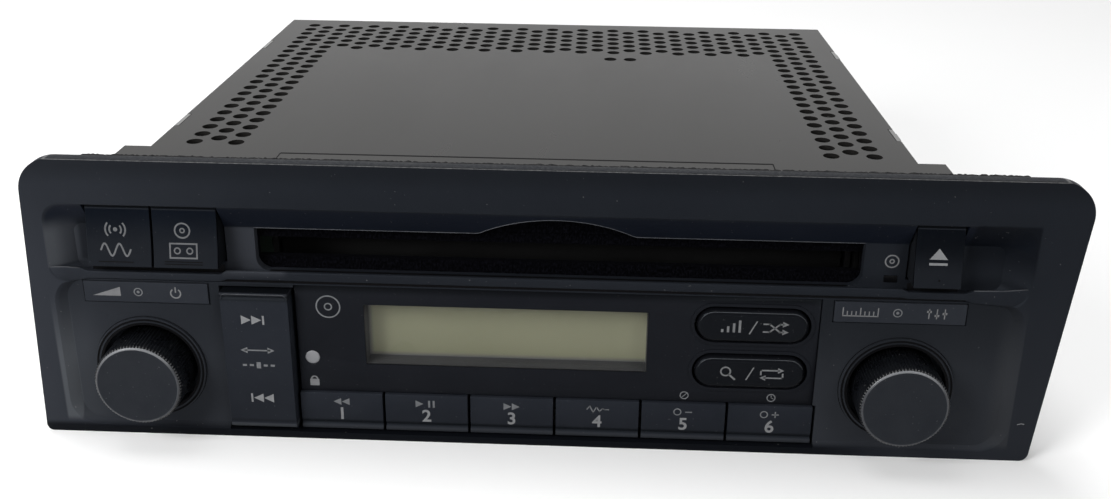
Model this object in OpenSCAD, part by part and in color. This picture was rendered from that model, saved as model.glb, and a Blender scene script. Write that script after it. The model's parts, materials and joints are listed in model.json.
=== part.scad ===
// Slot-loading radio and disc player for a dashboard.
// Frame: X to the right as the driver sees it, Y into the dashboard, Z up, in millimetres.
// The origin is the middle of the chassis underside. Depths in the modules are measured
// from the front of the bezel, and heights from the chassis underside.

/* [Chassis] */
// Width of the metal chassis
chassis_w = 178; // [176:1:182]
// Height of the metal chassis
chassis_h = 50; // [50:1:54]
// Depth of the metal chassis behind the nose
chassis_d = 133; // [133:1:150]
// Thickness of the chassis sheet
sheet = 1.0; // [0.8:0.1:1.1]
// Sideways spacing of the vent columns
vent_pitch = 5.0; // [5:0.1:6]
// Radius of a vent hole
vent_r = 1.9; // [1.2:0.1:2.1]
// Rows of vent holes in the rear band
rear_vent_rows = 6; // [3:1:10]

/* [Nose] */
// Width of the nose frame behind the bezel
nose_w = 190.4; // [189:0.2:194]
// Depth of the nose frame
nose_d = 30.8; // [30.8:0.2:36]
// Wall of the nose frame
nose_wall = 1.5; // [1:0.1:1.8]
// Width of the tongue in the front of the top cover
tongue_w = 113; // [80:1:130]

/* [Bezel] */
// Height of the bezel
bezel_h = 64; // [63:0.5:70]
// How far the bezel hangs below the chassis
bezel_drop = 4.1; // [4:0.1:5]
// Reach of the bezel to the left of the centre line, at the top
bezel_left_top = 102.4; // [102:0.2:106]
// Reach of the bezel to the left, at the bottom
bezel_left_bottom = 104.4; // [102:0.2:106]
// Reach of the bezel to the right, at the top
bezel_right_top = 114.1; // [110:0.2:118]
// Reach of the bezel to the right, at the bottom
bezel_right_bottom = 109.2; // [107:0.2:114]
// Radius of the upper bezel corners
bezel_corner_r = 7.5; // [3:0.5:9]
// Thickness of the bezel rim
rim_t = 2.5; // [2:0.1:3]
// Depth of the pan behind the rim
pan_t = 3.5; // [3.2:0.1:4]

/* [Disc slot] */
// Width of the disc slot
slot_w = 126.6; // [125:0.1:128]
// Lower edge of the disc slot
slot_low = 34.2; // [34:0.1:35]
// Upper edge of the disc slot
slot_high = 44.1; // [43.6:0.1:44.6]
// Clear height of the disc path between the felts
path_h = 4.4; // [4.2:0.1:4.8]
// Width of the finger notch above the slot
notch_w = 32.5; // [20:0.5:40]
// Height of the finger notch
notch_rise = 4.6; // [2:0.1:5]

/* [Display panel] */
// Middle of the panel, the presets and the slot, sideways
panel_x = 7.6; // [7:0.1:8]
// Width of the display panel
panel_w = 110; // [108:0.5:111]
// Lower edge of the display panel
panel_low = 7.2; // [7:0.1:7.6]
// Upper edge of the display panel
panel_high = 32.2; // [31.8:0.1:32.4]
// Width of the display window
window_w = 59.9; // [50:0.1:62]
// Height of the display window
window_h = 14.1; // [12:0.1:15]
// Radius of the security lamp
lamp_r = 1.55; // [1:0.05:2]

/* [Buttons] */
// Travel of a push button
press = 1.0; // [0.6:0.1:1.1]
// Lower edge of the preset buttons
preset_low = -2.2; // [-2.3:0.1:-1.8]
// Width of the seek rocker
rocker_w = 14.8; // [12:0.1:15]
// Width of the band and source buttons
band_w = 13.7; // [12:0.1:13.8]
// Width of the eject button
eject_w = 9.8; // [8:0.1:10.5]
// Reach of the upper buttons from the centre line
button_reach = 89.8; // [89:0.1:90.4]
// Width of a pill button
pill_w = 23.3; // [16:0.1:24]
// Height of a pill button
pill_h = 7.4; // [6:0.1:8]

/* [Knobs] */
// Distance of a knob from the centre line
knob_x = 79.8; // [79.4:0.1:80.4]
// Height of a knob
knob_z = 12; // [11.6:0.1:12.2]
// Radius of a knob
knob_r = 9.3; // [8:0.1:9.6]
// How far a knob stands out of the bezel front
knob_out = 7; // [3:0.1:8]
// Radius of a knob shaft
shaft_r = 3; // [2.5:0.1:3.2]

/* [Disc deck] */
// Depth of the turntable behind the bezel front
spindle_y = 90; // [88:0.5:92]
// Radius of the turntable
turntable_r = 15; // [12:0.5:15]
// Travel of the laser sled
sled_travel = 34; // [24:1:34]
// Radius of the loading roller
roller_r = 4.2; // [3.5:0.1:4.5]

/* [Rear] */
// Radius of the antenna socket bore
antenna_r = 4.5; // [4:0.1:4.8]
// Number of heat sink fins
fin_count = 9; // [5:1:11]

/* [Hidden] */

$fn = 64;
cut = 0.1;
slip = 0.05;
seat_gap = 0.2;
press_gap = 0.3;
lip_t = 0.9;
boss_r = 3;

// Depth levels from the bezel front
pan_back = rim_t + pan_t;
skirt_back = pan_back + 6;
board_front = skirt_back + 2;
board_t = 1.6;
board_back = board_front + board_t;
nose_back = pan_back + nose_d;
chassis_back = nose_back + chassis_d;
front_y = -(nose_back + chassis_d / 2);
rear_inner = chassis_back - sheet;
field_depth = 1.3;
slot_depth = 4;
notch_depth = slot_depth + 1.2;
panel_front = 1.6;
panel_back = pan_back - 2;

// Chassis levels
half_w = chassis_w / 2;
inner_w = half_w - sheet;
half_nose = nose_w / 2;
cover_z = chassis_h - sheet;
bezel_top = bezel_h - bezel_drop;
skirt_gap = 0.3;
skirt_wall = 2;
skirt_half = half_nose - nose_wall - skirt_gap;
skirt_low = nose_wall + skirt_gap;
skirt_high = cover_z - nose_wall - skirt_gap;
cavity_low = skirt_low + skirt_wall;
cavity_half = skirt_half - skirt_wall;
cavity_high = skirt_high - skirt_wall;
board_half = cavity_half - 1.4;

tab_places = [nose_back + 16, nose_back + 94];
tab_l = 9;
vent_pair_x = 19;

// Bezel recesses: the channel around the slot and the field around the controls
channel_top = 50.1;
channel_bottom = 31.8;
channel_left = -98.5;
channel_right = 103.8;
channel_taper = 4.5;
field_low = -1.6;
field_left = -98.3;
field_right = 104.2;
field_ramp = 2.2;
low_left_r = 1.5;
low_right_r = 2;
pan_inset = 2;
foam_inset = 12;

// Controls
panel_left = panel_x - panel_w / 2;
panel_right = panel_x + panel_w / 2;
preset_count = 6;
preset_row_w = panel_w + 1.1;
preset_left = panel_x - preset_row_w / 2;
preset_pitch = preset_row_w / preset_count;
preset_high = panel_low - press_gap;
preset_front = 1;
press_heel = pan_back - press - press_gap;
rocker_right = panel_left - 0.8;
rocker_left = rocker_right - rocker_w;
rocker_low = preset_low + 0.4;
rocker_high = panel_high - 1;
rocker_mid = (rocker_low + rocker_high) / 2;
rocker_front = -0.8;
rocker_axis_y = pan_back + 2.5;
rocker_axis_r = 1.2;
rocker_foot = 7.7;
rocker_heel = cavity_low + 1;
upper_low = slot_low + 2.2;
upper_high = channel_top - 0.5;
pill_margin = 2.15;
pill_x = panel_right - pill_margin - pill_w / 2;
pill_zs = [panel_low + 7.8, panel_low + 18.7];
pill_clear = 0.5;
pill_ring = 0.7;
pill_ring_rise = 0.3;
window_gap = 10.15;
window_x = pill_x - pill_w / 2 - window_gap - window_w / 2;
window_margin = window_x - window_w / 2 - panel_left;
lcd_margin = 1.2;
window_z = panel_low + 6.7 + window_h / 2;
lamp_x = panel_left + min(2.9, window_margin / 2);
lamp_z = panel_low + 8;
disc_lamp_x = panel_x + slot_w / 2 + 5.8;
disc_lamp_w = 2.7;
disc_lamp_h = 1.5;
disc_lamp_z = slot_low + 2;
felt_t = 1.5;
label_h = 5;
label_gap = 2.5;
label_reach = knob_x + 12.6;
label_z = panel_high - 2.4;

// Switches behind the buttons
switch_w = 6;
switch_h = 3.5;
plunger_h = 0.8;
switch_tip = board_front - switch_h - plunger_h;
stem_end = switch_tip - press - 0.2;
low_switch_z = cavity_low + switch_w / 2 + 0.3;
upper_switch_z = upper_low + 5.2;
switch_places = concat(
    [for (i = [0 : preset_count - 1]) [preset_left + (i + 0.5) * preset_pitch, low_switch_z]],
    [for (z = pill_zs) [pill_x, z]],
    [for (s = [-1, 1]) [(rocker_left + rocker_right) / 2, rocker_mid + s * rocker_foot]],
    [[-button_reach + band_w / 2, upper_switch_z],
     [-button_reach + 1.5 * band_w + 0.2, upper_switch_z],
     [button_reach - eject_w / 2, upper_switch_z]]
);

// Knobs and encoders
well_r = knob_r + 1.3;
collar_r = well_r + 1.4;
well_depth = pan_back - 1.2;
knob_back = well_depth - press - 0.4;
encoder_w = 13;
encoder_front = board_front - 6.5;
rotor_r = shaft_r + 2;
rotor_y = encoder_front + 1.2;
rotor_h = 3.3;
flat_cut = 0.6;
knob_wall = 1.6;
knob_face = 1.8;

// Disc path and deck
path_mid = (slot_low + slot_high) / 2;
path_low = path_mid - path_h / 2;
path_high = path_mid + path_h / 2;
deck_t = 1.2;
deck_top = path_low - 11.7;
deck_low = deck_top - deck_t;
deck_left = panel_x - 67.5;
deck_right = panel_x + 67.5;
deck_front = board_back + 2.4;
deck_rear = spindle_y + 70;
lug_t = 1.2;
lug_side = 3;
roller_y = deck_front + 6;
roller_z = path_low - roller_r - 0.1;
roller_pin_r = 1.5;
bearing_x = slot_w / 2 - 0.2;
pulley_x = bearing_x + lug_t + 0.6;
pulley_t = 3;
roller_pulley_r = 5;
motor_pulley_r = 2.4;
loading_motor_y = roller_y + 26;
loading_motor_r = 5.5;
motor_l = 18;
loading_motor_z = deck_top + loading_motor_r + 0.3;
sled_half = 7;
sled_y = spindle_y + 24;
rod_r = 1.5;
rod_level = deck_top + 3.4;
rod_half = 15;
screw_x = panel_x + 26.4;
screw_z = deck_top + 6.2;
screw_r = 1.6;
lug_front_y = spindle_y + 9;
lug_rear_y = sled_y + sled_travel + sled_half + 3;
hinge_y = spindle_y + 62;
hinge_z = path_high + 1.8;
hinge_pin_r = 1.2;
hinge_left = panel_x - 21;
hinge_right = panel_x + 31;
arm_t = 1.2;
arm_low = path_high + 0.9;
damper_h = 4;
damper_r = 5.5;
deck_screw_l = 6.5;
deck_head_r = 3.2;
post_r = 4;
screw_hole_r = 1.5;
post_inset = 8;
deck_posts = [
    [deck_left + post_inset, spindle_y - 28], [deck_right - post_inset, spindle_y - 22],
    [deck_left + post_inset, spindle_y + 60], [deck_right - post_inset, spindle_y + 60]
];

// Boards and rear
main_z = 6;
main_front = nose_back + 9.2;
main_rear = chassis_back - 11.8;
main_half = half_w - 5;
main_screws = [for (s = [-1, 1]) for (y = [main_front + boss_r, main_front + 75]) [s * (main_half - 4), y]];
upper_screws = [for (s = [-1, 1]) [s * (board_half - boss_r), panel_high - 3.2]];
lower_screws = [for (i = [1, preset_count - 1]) [preset_left + i * preset_pitch, cavity_low + boss_r]];
control_screws = concat(upper_screws, lower_screws);
small_screw_r = 1.1;
small_hole_r = small_screw_r + slip / 2;
small_head_r = 2.4;
small_head_h = 1.6;
small_screw_l = 6;
side_boss = 8;
side_hole_r = screw_hole_r + slip / 2;
side_hole_l = 6.2;
side_screw_z = [10, 40];
side_screw_x = half_w - 5.5;
mount_y = [nose_back + 25.2, nose_back + 105.2];
mount_z = 25;
mount_r = 2.1;
connector_x0 = -62;
connector_x1 = -26;
connector_top = 23.6;
connector_wall = 1.5;
connector_back = chassis_back + 8;
antenna_x = -(half_w - 13);
antenna_z = 26;
antenna_wall = 2;
amplifier_x = 30;
amplifier_w = 28;
amplifier_h = 15;

// Shape helpers
module from_front() {
    translate([0, front_y, 0]) children();
}

module along_y(y0, y1) {
    translate([0, y1, 0]) rotate([90, 0, 0]) linear_extrude(y1 - y0) children();
}

module along_x(x0, x1) {
    translate([x0, 0, 0]) rotate([90, 0, 90]) linear_extrude(x1 - x0) children();
}

module rod_y(x, z, r, y0, y1) {
    translate([x, y0, z]) rotate([-90, 0, 0]) cylinder(r = r, h = y1 - y0);
}

module rod_x(x0, x1, y, z, r) {
    translate([x0, y, z]) rotate([0, 90, 0]) cylinder(r = r, h = x1 - x0);
}

module rod_z(x, y, r, z0, z1) {
    translate([x, y, z0]) cylinder(r = r, h = z1 - z0);
}

module block(x0, x1, y0, y1, z0, z1) {
    translate([x0, y0, z0]) cube([x1 - x0, y1 - y0, z1 - z0]);
}

module area(x0, x1, z0, z1) {
    translate([x0, z0]) square([x1 - x0, z1 - z0]);
}

module rounded(x0, x1, z0, z1, r) {
    area(x0 + r, x1 - r, z0, z1);
    area(x0, x1, z0 + r, z1 - r);
    for (x = [x0 + r, x1 - r]) for (z = [z0 + r, z1 - r]) translate([x, z]) circle(r);
}

module stadium(x, z, w, h) {
    area(x - w / 2 + h / 2, x + w / 2 - h / 2, z - h / 2, z + h / 2);
    for (s = [-1, 1]) translate([x + s * (w - h) / 2, z]) circle(h / 2);
}

// Outline of the bezel, drawn in at the top and the sides, and less at the bottom
module face_outline(inset, low_inset) {
    r = bezel_corner_r - inset / 2;
    top = bezel_top - inset - r;
    low = -bezel_drop + low_inset;
    hull() {
        translate([-bezel_left_top + inset + r, top]) circle(r);
        translate([bezel_right_top - inset - r, top]) circle(r);
        translate([-bezel_left_bottom + inset + low_left_r, low + low_left_r]) circle(low_left_r);
        translate([bezel_right_bottom - inset - low_right_r, low + low_right_r]) circle(low_right_r);
    }
}

// Chassis sheets
module vent_column(column, columns, rows) {
    row_pitch = vent_pitch / cos(30);
    odd = column % 2;
    at_side = column <= 3 || column > columns - 3;
    first = at_side ? 1 : rows - rear_vent_rows + 1;
    for (row = [first : rows - (odd == 1 ? 0 : 1)])
        translate([(column - (columns + 1) / 2) * vent_pitch,
                   nose_back + 4 + (row - (odd == 1 ? 1 : 0.5)) * row_pitch])
            circle(vent_r);
}

module tongue_area(gap) {
    area(-tongue_w / 2 - 1 - gap, tongue_w / 2 - 1 + gap, pan_back - cut, nose_back - 2.9 + gap);
}

module top_cover() {
    columns = 2 * floor((half_w - 8) / vent_pitch) + 1;
    rows = floor((chassis_d - 10) / (vent_pitch / cos(30))) + 1;
    color("DimGray") from_front() translate([0, 0, cover_z]) linear_extrude(sheet) difference() {
        union() {
            area(-half_w, half_w, nose_back - cut, chassis_back);
            area(-half_nose, half_nose, pan_back, nose_back);
        }
        tongue_area(seat_gap);
        for (s = [-1, 1]) for (y = tab_places)
            translate([s * half_w, y + tab_l / 2])
                square([2 * (sheet + seat_gap), tab_l + 2 * seat_gap], center = true);
        for (column = [1 : columns]) vent_column(column, columns, rows);
        for (x = [vent_pair_x, vent_pair_x + 6])
            translate([x, nose_back - 4 + (rows - rear_vent_rows) * vent_pitch / cos(30)]) circle(vent_r);
    }
}

module bottom_cover() {
    color("Silver") from_front() difference() {
        union() {
            block(-inner_w, inner_w, nose_back, chassis_back - sheet, 0, sheet);
            for (p = deck_posts) rod_z(p[0], p[1], post_r, sheet / 2, deck_low - damper_h);
            for (p = main_screws) rod_z(p[0], p[1], boss_r, sheet / 2, main_z);
        }
        for (p = deck_posts)
            rod_z(p[0], p[1], side_hole_r, deck_low - damper_h - deck_screw_l - 0.5, deck_low);
        for (p = main_screws)
            rod_z(p[0], p[1], small_hole_r, main_z + board_t - small_screw_l - cut, main_z + cut);
    }
}

// One side wall, drawn on the right: inner lugs take the chassis screws, bushes the side bolts
module side_plate() {
    difference() {
        union() {
            block(inner_w, half_w, nose_back, chassis_back, 0, cover_z);
            for (y = tab_places) block(inner_w, half_w, y, y + tab_l, cover_z - cut, chassis_h);
            for (y = tab_places)
                block(half_w - cut, half_w + 0.5, y + 2, y + tab_l - 2, cover_z - 4, chassis_h - 0.4);
            for (z = side_screw_z) for (y = [nose_back, rear_inner - side_boss])
                block(half_w - 10, inner_w + cut, y, y + side_boss, z - 4, z + 4);
            for (y = mount_y) rod_x(half_w - 5, half_w - cut, y, mount_z, 5);
        }
        for (y = mount_y) rod_x(half_w - 6, half_w + 1, y, mount_z, mount_r);
        for (z = side_screw_z) {
            rod_y(side_screw_x, z, side_hole_r, nose_back - cut, nose_back + side_hole_l);
            rod_y(side_screw_x, z, side_hole_r, rear_inner - side_hole_l, rear_inner + cut);
        }
    }
}

module left_side_plate() {
    color("Silver") from_front() mirror([1, 0, 0]) side_plate();
}

module right_side_plate() {
    color("Silver") from_front() side_plate();
}

module rear_panel() {
    color("Silver") from_front() along_y(rear_inner, chassis_back) difference() {
        area(-inner_w, inner_w, 0, cover_z);
        area(connector_x0 - seat_gap, connector_x1 + seat_gap,
             main_z + board_t - seat_gap, connector_top + seat_gap);
        translate([antenna_x, antenna_z]) circle(antenna_r + antenna_wall + seat_gap);
        for (s = [-1, 1]) for (z = side_screw_z)
            translate([s * side_screw_x, z]) circle(screw_hole_r + seat_gap);
    }
}

// Ring behind the bezel, closed at the back only beside the chassis walls
module front_frame() {
    color("DimGray") from_front() difference() {
        union() {
            along_y(pan_back, nose_back) difference() {
                area(-half_nose, half_nose, 0, cover_z);
                area(-half_nose + nose_wall, half_nose - nose_wall, nose_wall, cover_z - nose_wall);
            }
            for (s = [0, 1]) mirror([s, 0, 0]) along_y(nose_back - 1, nose_back)
                area(half_w - 9, half_nose, 0, cover_z);
            translate([0, 0, cover_z - cut]) linear_extrude(sheet + cut) intersection() {
                tongue_area(0);
                area(-half_nose, half_nose, pan_back, nose_back);
            }
        }
        for (s = [-1, 1]) for (z = side_screw_z)
            rod_y(s * side_screw_x, z, screw_hole_r + seat_gap, nose_back - 2, nose_back + cut);
    }
}

// Bezel: rim, pan and skirt, less its recesses and openings
module channel_cutter() {
    hull() {
        along_y(-cut, 0) rounded(channel_left, channel_right, channel_bottom, channel_top, 4);
        along_y(slot_depth - cut, slot_depth)
            rounded(channel_left + channel_taper, channel_right - channel_taper, slot_low, slot_high, 2);
    }
}

module field_cutter() {
    hull() {
        along_y(-cut, 0)
            rounded(field_left, field_right, field_low - 0.5, panel_high + 1.2, 6);
        along_y(field_depth - cut, field_depth)
            rounded(field_left + field_ramp, field_right - field_ramp, field_low + 0.2, panel_high + 0.6, 5);
    }
}

module slot_area() {
    left = panel_x - slot_w / 2;
    right = panel_x + slot_w / 2;
    rounded(left, right, slot_low, slot_high, 3);
    area(left, right, path_mid, slot_high);
}

module notch_area() {
    notch_r = (notch_w * notch_w / 4 + notch_rise * notch_rise) / (2 * notch_rise);
    intersection() {
        translate([panel_x, slot_high + notch_rise - notch_r]) circle(notch_r);
        area(panel_x - notch_w / 2, panel_x + notch_w / 2, path_mid, slot_high + notch_rise + 1);
    }
}

module label_area(grow) {
    for (ends = [[-label_reach, rocker_left - label_gap], [panel_right + label_gap, label_reach]])
        area(ends[0] - grow, ends[1] + grow, label_z - label_h / 2 - grow, label_z + label_h / 2 + grow);
}

module control_openings() {
    along_y(-1, pan_back + cut) {
        slot_area();
        area(-button_reach - press_gap, -button_reach + 2 * band_w + 0.2 + press_gap,
             upper_low - press_gap, upper_high + press_gap);
        area(button_reach - eject_w - press_gap, button_reach + press_gap,
             upper_low - press_gap, upper_high + press_gap);
        area(rocker_left - 0.4, panel_left - seat_gap, rocker_low - 0.6, rocker_high + 0.6);
        area(preset_left - 0.3, preset_left + preset_row_w + 0.3, preset_low - press_gap, panel_low);
        area(window_x - window_w / 2 - 0.6, window_x + window_w / 2 + 0.6,
             window_z - window_h / 2 - 0.6, window_z + window_h / 2 + 0.6);
        for (z = pill_zs) stadium(pill_x, z, pill_w + 2 * pill_clear, pill_h + 2 * pill_clear);
        translate([lamp_x, lamp_z]) circle(lamp_r + slip);
        area(disc_lamp_x - disc_lamp_w / 2 - slip, disc_lamp_x + disc_lamp_w / 2 + slip,
             disc_lamp_z - disc_lamp_h / 2 - slip, disc_lamp_z + disc_lamp_h / 2 + slip);
        for (s = [-1, 1]) translate([s * knob_x, knob_z]) circle(shaft_r + 0.6);
    }
    along_y(-1, notch_depth) notch_area();
    along_y(-1, panel_back)
        area(panel_left - seat_gap, panel_right + seat_gap, panel_low - seat_gap, panel_high + seat_gap);
    for (s = [-1, 1]) rod_y(s * knob_x, knob_z, well_r, -1, well_depth);
    along_y(-1, field_depth + 0.5) label_area(slip);
}

module front_bezel() {
    color([0.13, 0.14, 0.17]) from_front() difference() {
        union() {
            difference() {
                union() {
                    along_y(0, rim_t) face_outline(0, 0);
                    along_y(rim_t - cut, pan_back) face_outline(pan_inset, 0.5);
                    along_y(pan_back - cut, skirt_back)
                        area(-skirt_half, skirt_half, skirt_low, skirt_high);
                }
                channel_cutter();
                field_cutter();
                along_y(pan_back, skirt_back + cut)
                    area(-cavity_half, cavity_half, cavity_low, cavity_high);
            }
            for (s = [-1, 1]) rod_y(s * knob_x, knob_z, collar_r, field_depth - 0.6, field_depth + cut);
            for (p = upper_screws) rod_y(p[0], p[1], boss_r, pan_back - cut, board_front);
            for (p = lower_screws)
                block(p[0] - boss_r, p[0] + boss_r, skirt_back - 3, board_front,
                      cavity_low - cut, p[1] + boss_r);
            for (x = [rocker_left - 2.2, panel_left - seat_gap])
                block(x, x + 1.8, pan_back - cut, rocker_axis_y + 2.6, rocker_mid - 5, rocker_mid + 5);
        }
        control_openings();
        for (p = control_screws)
            rod_y(p[0], p[1], small_hole_r, board_back - small_screw_l - cut, board_front + cut);
        rod_x(rocker_left - 3, panel_left + 3, rocker_axis_y, rocker_mid, rocker_axis_r + slip);
    }
}

module foam_seal() {
    color("Black") from_front()
        block(-bezel_left_top + foam_inset, bezel_right_top - foam_inset, rim_t, pan_back - 0.4,
              bezel_top - pan_inset, bezel_top - 0.5);
}

// Display
module window_area(grow) {
    area(window_x - window_w / 2 - grow, window_x + window_w / 2 + grow,
         window_z - window_h / 2 - grow, window_z + window_h / 2 + grow);
}

module display_panel() {
    ring = 2 * (pill_clear + pill_ring);
    color("Black") from_front() difference() {
        union() {
            along_y(panel_front, panel_back) area(panel_left, panel_right, panel_low, panel_high);
            along_y(panel_front - pill_ring_rise, panel_front + cut)
                for (z = pill_zs) stadium(pill_x, z, pill_w + ring, pill_h + ring);
        }
        along_y(panel_front - 1, panel_back + cut) {
            window_area(slip);
            for (z = pill_zs) stadium(pill_x, z, pill_w + 2 * pill_clear, pill_h + 2 * pill_clear);
            translate([lamp_x, lamp_z]) circle(lamp_r + slip);
        }
    }
}

module display_window() {
    color([0.4, 0.4, 0.4, 0.4]) from_front() along_y(panel_front + 0.2, panel_back) window_area(0);
}

module lcd_module() {
    color([0.53, 0.53, 0.43]) from_front() along_y(pan_back, pan_back + 2.2) window_area(lcd_margin);
}

module lcd_holder() {
    color("White") from_front() along_y(pan_back + 2.2, board_front) window_area(lcd_margin + seat_gap);
}

// Push buttons: a cap, a lip behind the bezel and a stem that ends short of its switch
module button_stem(x, z) {
    block(x - 2, x + 2, pan_back + 0.9, stem_end, z - 1.6, z + 1.6);
}

module preset_button(i) {
    left = preset_left + i * preset_pitch + seat_gap;
    right = left + preset_pitch - 2 * seat_gap;
    x = (left + right) / 2;
    color([0.12, 0.13, 0.15]) from_front() {
        along_x(left, right) polygon([
            [preset_front, preset_low + 1.4], [preset_front, preset_high - 0.6],
            [preset_front + 0.6, preset_high], [pan_back, preset_high],
            [pan_back, cavity_low + press_gap], [press_heel, cavity_low + press_gap],
            [press_heel, preset_low], [preset_front + 1.2, preset_low]]);
        block(x - 3, x + 3, pan_back - cut, pan_back + 1, cavity_low + press_gap, preset_high - seat_gap);
        block(x - 3, x + 3, pan_back + press_gap, pan_back + 1, preset_high - press_gap, low_switch_z + 1.6);
        button_stem(x, low_switch_z);
    }
}

module preset_button_1() { preset_button(0); }
module preset_button_2() { preset_button(1); }
module preset_button_3() { preset_button(2); }
module preset_button_4() { preset_button(3); }
module preset_button_5() { preset_button(4); }
module preset_button_6() { preset_button(5); }

module upper_button(left, width) {
    right = left + width;
    color([0.12, 0.13, 0.15]) from_front() {
        along_x(left, right) polygon([
            [-0.5, upper_low], [-1, upper_low + 0.4], [0, upper_low + 4.4], [0.6, upper_low + 8.6],
            [1, upper_high - 0.5], [1.5, upper_high], [press_heel, upper_high],
            [press_heel, cavity_high - press_gap], [pan_back, cavity_high - press_gap],
            [pan_back, upper_low]]);
        block(left + 1, right - 1, pan_back + press_gap, pan_back + press_gap + lip_t,
              upper_low - 1.6, upper_low + 8);
        block(left + 1, right - 1, pan_back - cut, pan_back + 0.4, upper_low + 0.4, upper_low + 8);
        button_stem((left + right) / 2, upper_switch_z);
    }
}

module band_button() { upper_button(-button_reach, band_w); }
module source_button() { upper_button(-button_reach + band_w + 0.2, band_w); }
module eject_button() { upper_button(button_reach - eject_w, eject_w); }

module pill_button(z) {
    color([0.1, 0.1, 0.12]) from_front() {
        along_y(0.4, pan_back + 0.4) stadium(pill_x, z, pill_w, pill_h);
        along_y(pan_back + press_gap, pan_back + press_gap + lip_t)
            area(pill_x - pill_w / 2 - 1, pill_x + pill_w / 2 + 1, z - pill_h / 2, z + pill_h / 2);
        button_stem(pill_x, z);
    }
}

module select_button() { pill_button(pill_zs[1]); }
module scan_button() { pill_button(pill_zs[0]); }

module seek_rocker() {
    mid_x = (rocker_left + rocker_right) / 2;
    color([0.12, 0.13, 0.15]) from_front() {
        along_x(rocker_left, rocker_right) polygon([
            [rocker_front, rocker_low + 2], [rocker_front, rocker_high - 3.5], [1.4, rocker_high],
            [pan_back - 0.4, rocker_high], [pan_back - 0.4, rocker_heel], [press_heel, rocker_heel],
            [press_heel, rocker_low], [0.4, rocker_low]]);
        block(rocker_left + 0.4, rocker_right - 0.4, pan_back - 0.5, rocker_axis_y + 1.8,
              rocker_mid - 3, rocker_mid + 3);
        rod_x(rocker_left - 2, panel_left + 1.2, rocker_axis_y, rocker_mid, rocker_axis_r);
        for (s = [-1, 1]) block(mid_x - 2, mid_x + 2, pan_back - 0.5, stem_end,
                                rocker_mid + s * rocker_foot - 1.6, rocker_mid + s * rocker_foot + 1.6);
    }
}

// Knobs turn a rotor in the encoder, and slide through it when pushed
module shaft_section(r) {
    difference() {
        circle(r);
        translate([-r - 1, r - flat_cut]) square([2 * r + 2, r]);
    }
}

module knob_cap(side) {
    front = -knob_out;
    l = knob_back - front;
    color([0.15, 0.15, 0.17]) from_front() translate([side * knob_x, 0, knob_z]) {
        translate([0, knob_back, 0]) rotate([90, 0, 0]) rotate_extrude() polygon([
            [0, l], [knob_r - 0.7, l], [knob_r - 0.1, l - 0.6], [knob_r, 0],
            [knob_r - knob_wall, 0], [knob_r - knob_wall, l - knob_face], [0, l - knob_face]]);
        difference() {
            rod_y(0, 0, shaft_r + knob_wall, front + 1, knob_back);
            along_y(front + knob_face, knob_back + cut) shaft_section(shaft_r + slip / 2);
        }
    }
}

module knob_shaft(side) {
    color("Silver") from_front() translate([side * knob_x, 0, knob_z])
        along_y(-knob_out + knob_face, board_front - press - 0.6) shaft_section(shaft_r);
}

module encoder_rotor(side) {
    color("Black") from_front() translate([side * knob_x, 0, knob_z])
        along_y(rotor_y, rotor_y + rotor_h) difference() {
            circle(rotor_r);
            shaft_section(shaft_r + slip);
        }
}

module encoder_body(side) {
    color("Gray") from_front() translate([side * knob_x, 0, knob_z]) difference() {
        along_y(encoder_front, board_front)
            area(-encoder_w / 2, encoder_w / 2, -encoder_w / 2, encoder_w / 2);
        rod_y(0, 0, rotor_r + slip, rotor_y - slip, rotor_y + rotor_h + slip);
        rod_y(0, 0, shaft_r + 0.4, encoder_front - cut, board_front + cut);
    }
}

module volume_knob() { knob_cap(-1); }
module volume_shaft() { knob_shaft(-1); }
module volume_rotor() { encoder_rotor(-1); }
module volume_encoder() { encoder_body(-1); }
module tune_knob() { knob_cap(1); }
module tune_shaft() { knob_shaft(1); }
module tune_rotor() { encoder_rotor(1); }
module tune_encoder() { encoder_body(1); }

// Small trim
module label_plates() {
    color([0.2, 0.2, 0.22]) from_front() along_y(field_depth - 0.3, field_depth + 0.5) label_area(0);
}

// The round security lamp in the panel and the small disc lamp beside the slot
module indicator_lamps() {
    color("White") from_front() {
        rod_y(lamp_x, lamp_z, lamp_r, panel_front - 0.3, pan_back);
        along_y(slot_depth - 0.2, pan_back)
            area(disc_lamp_x - disc_lamp_w / 2, disc_lamp_x + disc_lamp_w / 2,
                 disc_lamp_z - disc_lamp_h / 2, disc_lamp_z + disc_lamp_h / 2);
    }
}

module slot_felt() {
    left = panel_x - slot_w / 2 - felt_t;
    right = panel_x + slot_w / 2 + felt_t;
    color([0.25, 0.25, 0.25]) from_front() {
        block(left, right, pan_back, pan_back + felt_t, path_high, cavity_high - seat_gap);
        block(left, right, pan_back, pan_back + felt_t, slot_low - 1, path_low);
        for (x = [left, right - felt_t])
            block(x, x + felt_t, pan_back, pan_back + felt_t, path_low - cut, path_high + cut);
    }
}

// Control board and its switches
module control_board() {
    color("DarkGreen") from_front() along_y(board_front, board_back) difference() {
        union() {
            area(-board_half, board_half, cavity_low, slot_low - 1.6);
            area(-board_half, panel_x - slot_w / 2 - 3.2, slot_low - 1.6 - cut, cavity_high);
            area(panel_x + slot_w / 2 + 3.4, board_half, slot_low - 1.6 - cut, cavity_high);
        }
        for (p = control_screws) translate(p) circle(small_screw_r + press_gap);
    }
}

module tact_switches() {
    color("Black") from_front() for (p = switch_places) {
        along_y(board_front - switch_h, board_front)
            area(p[0] - switch_w / 2, p[0] + switch_w / 2, p[1] - switch_w / 2, p[1] + switch_w / 2);
        rod_y(p[0], p[1], 1.75, switch_tip, board_front - switch_h + cut);
    }
}

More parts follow.
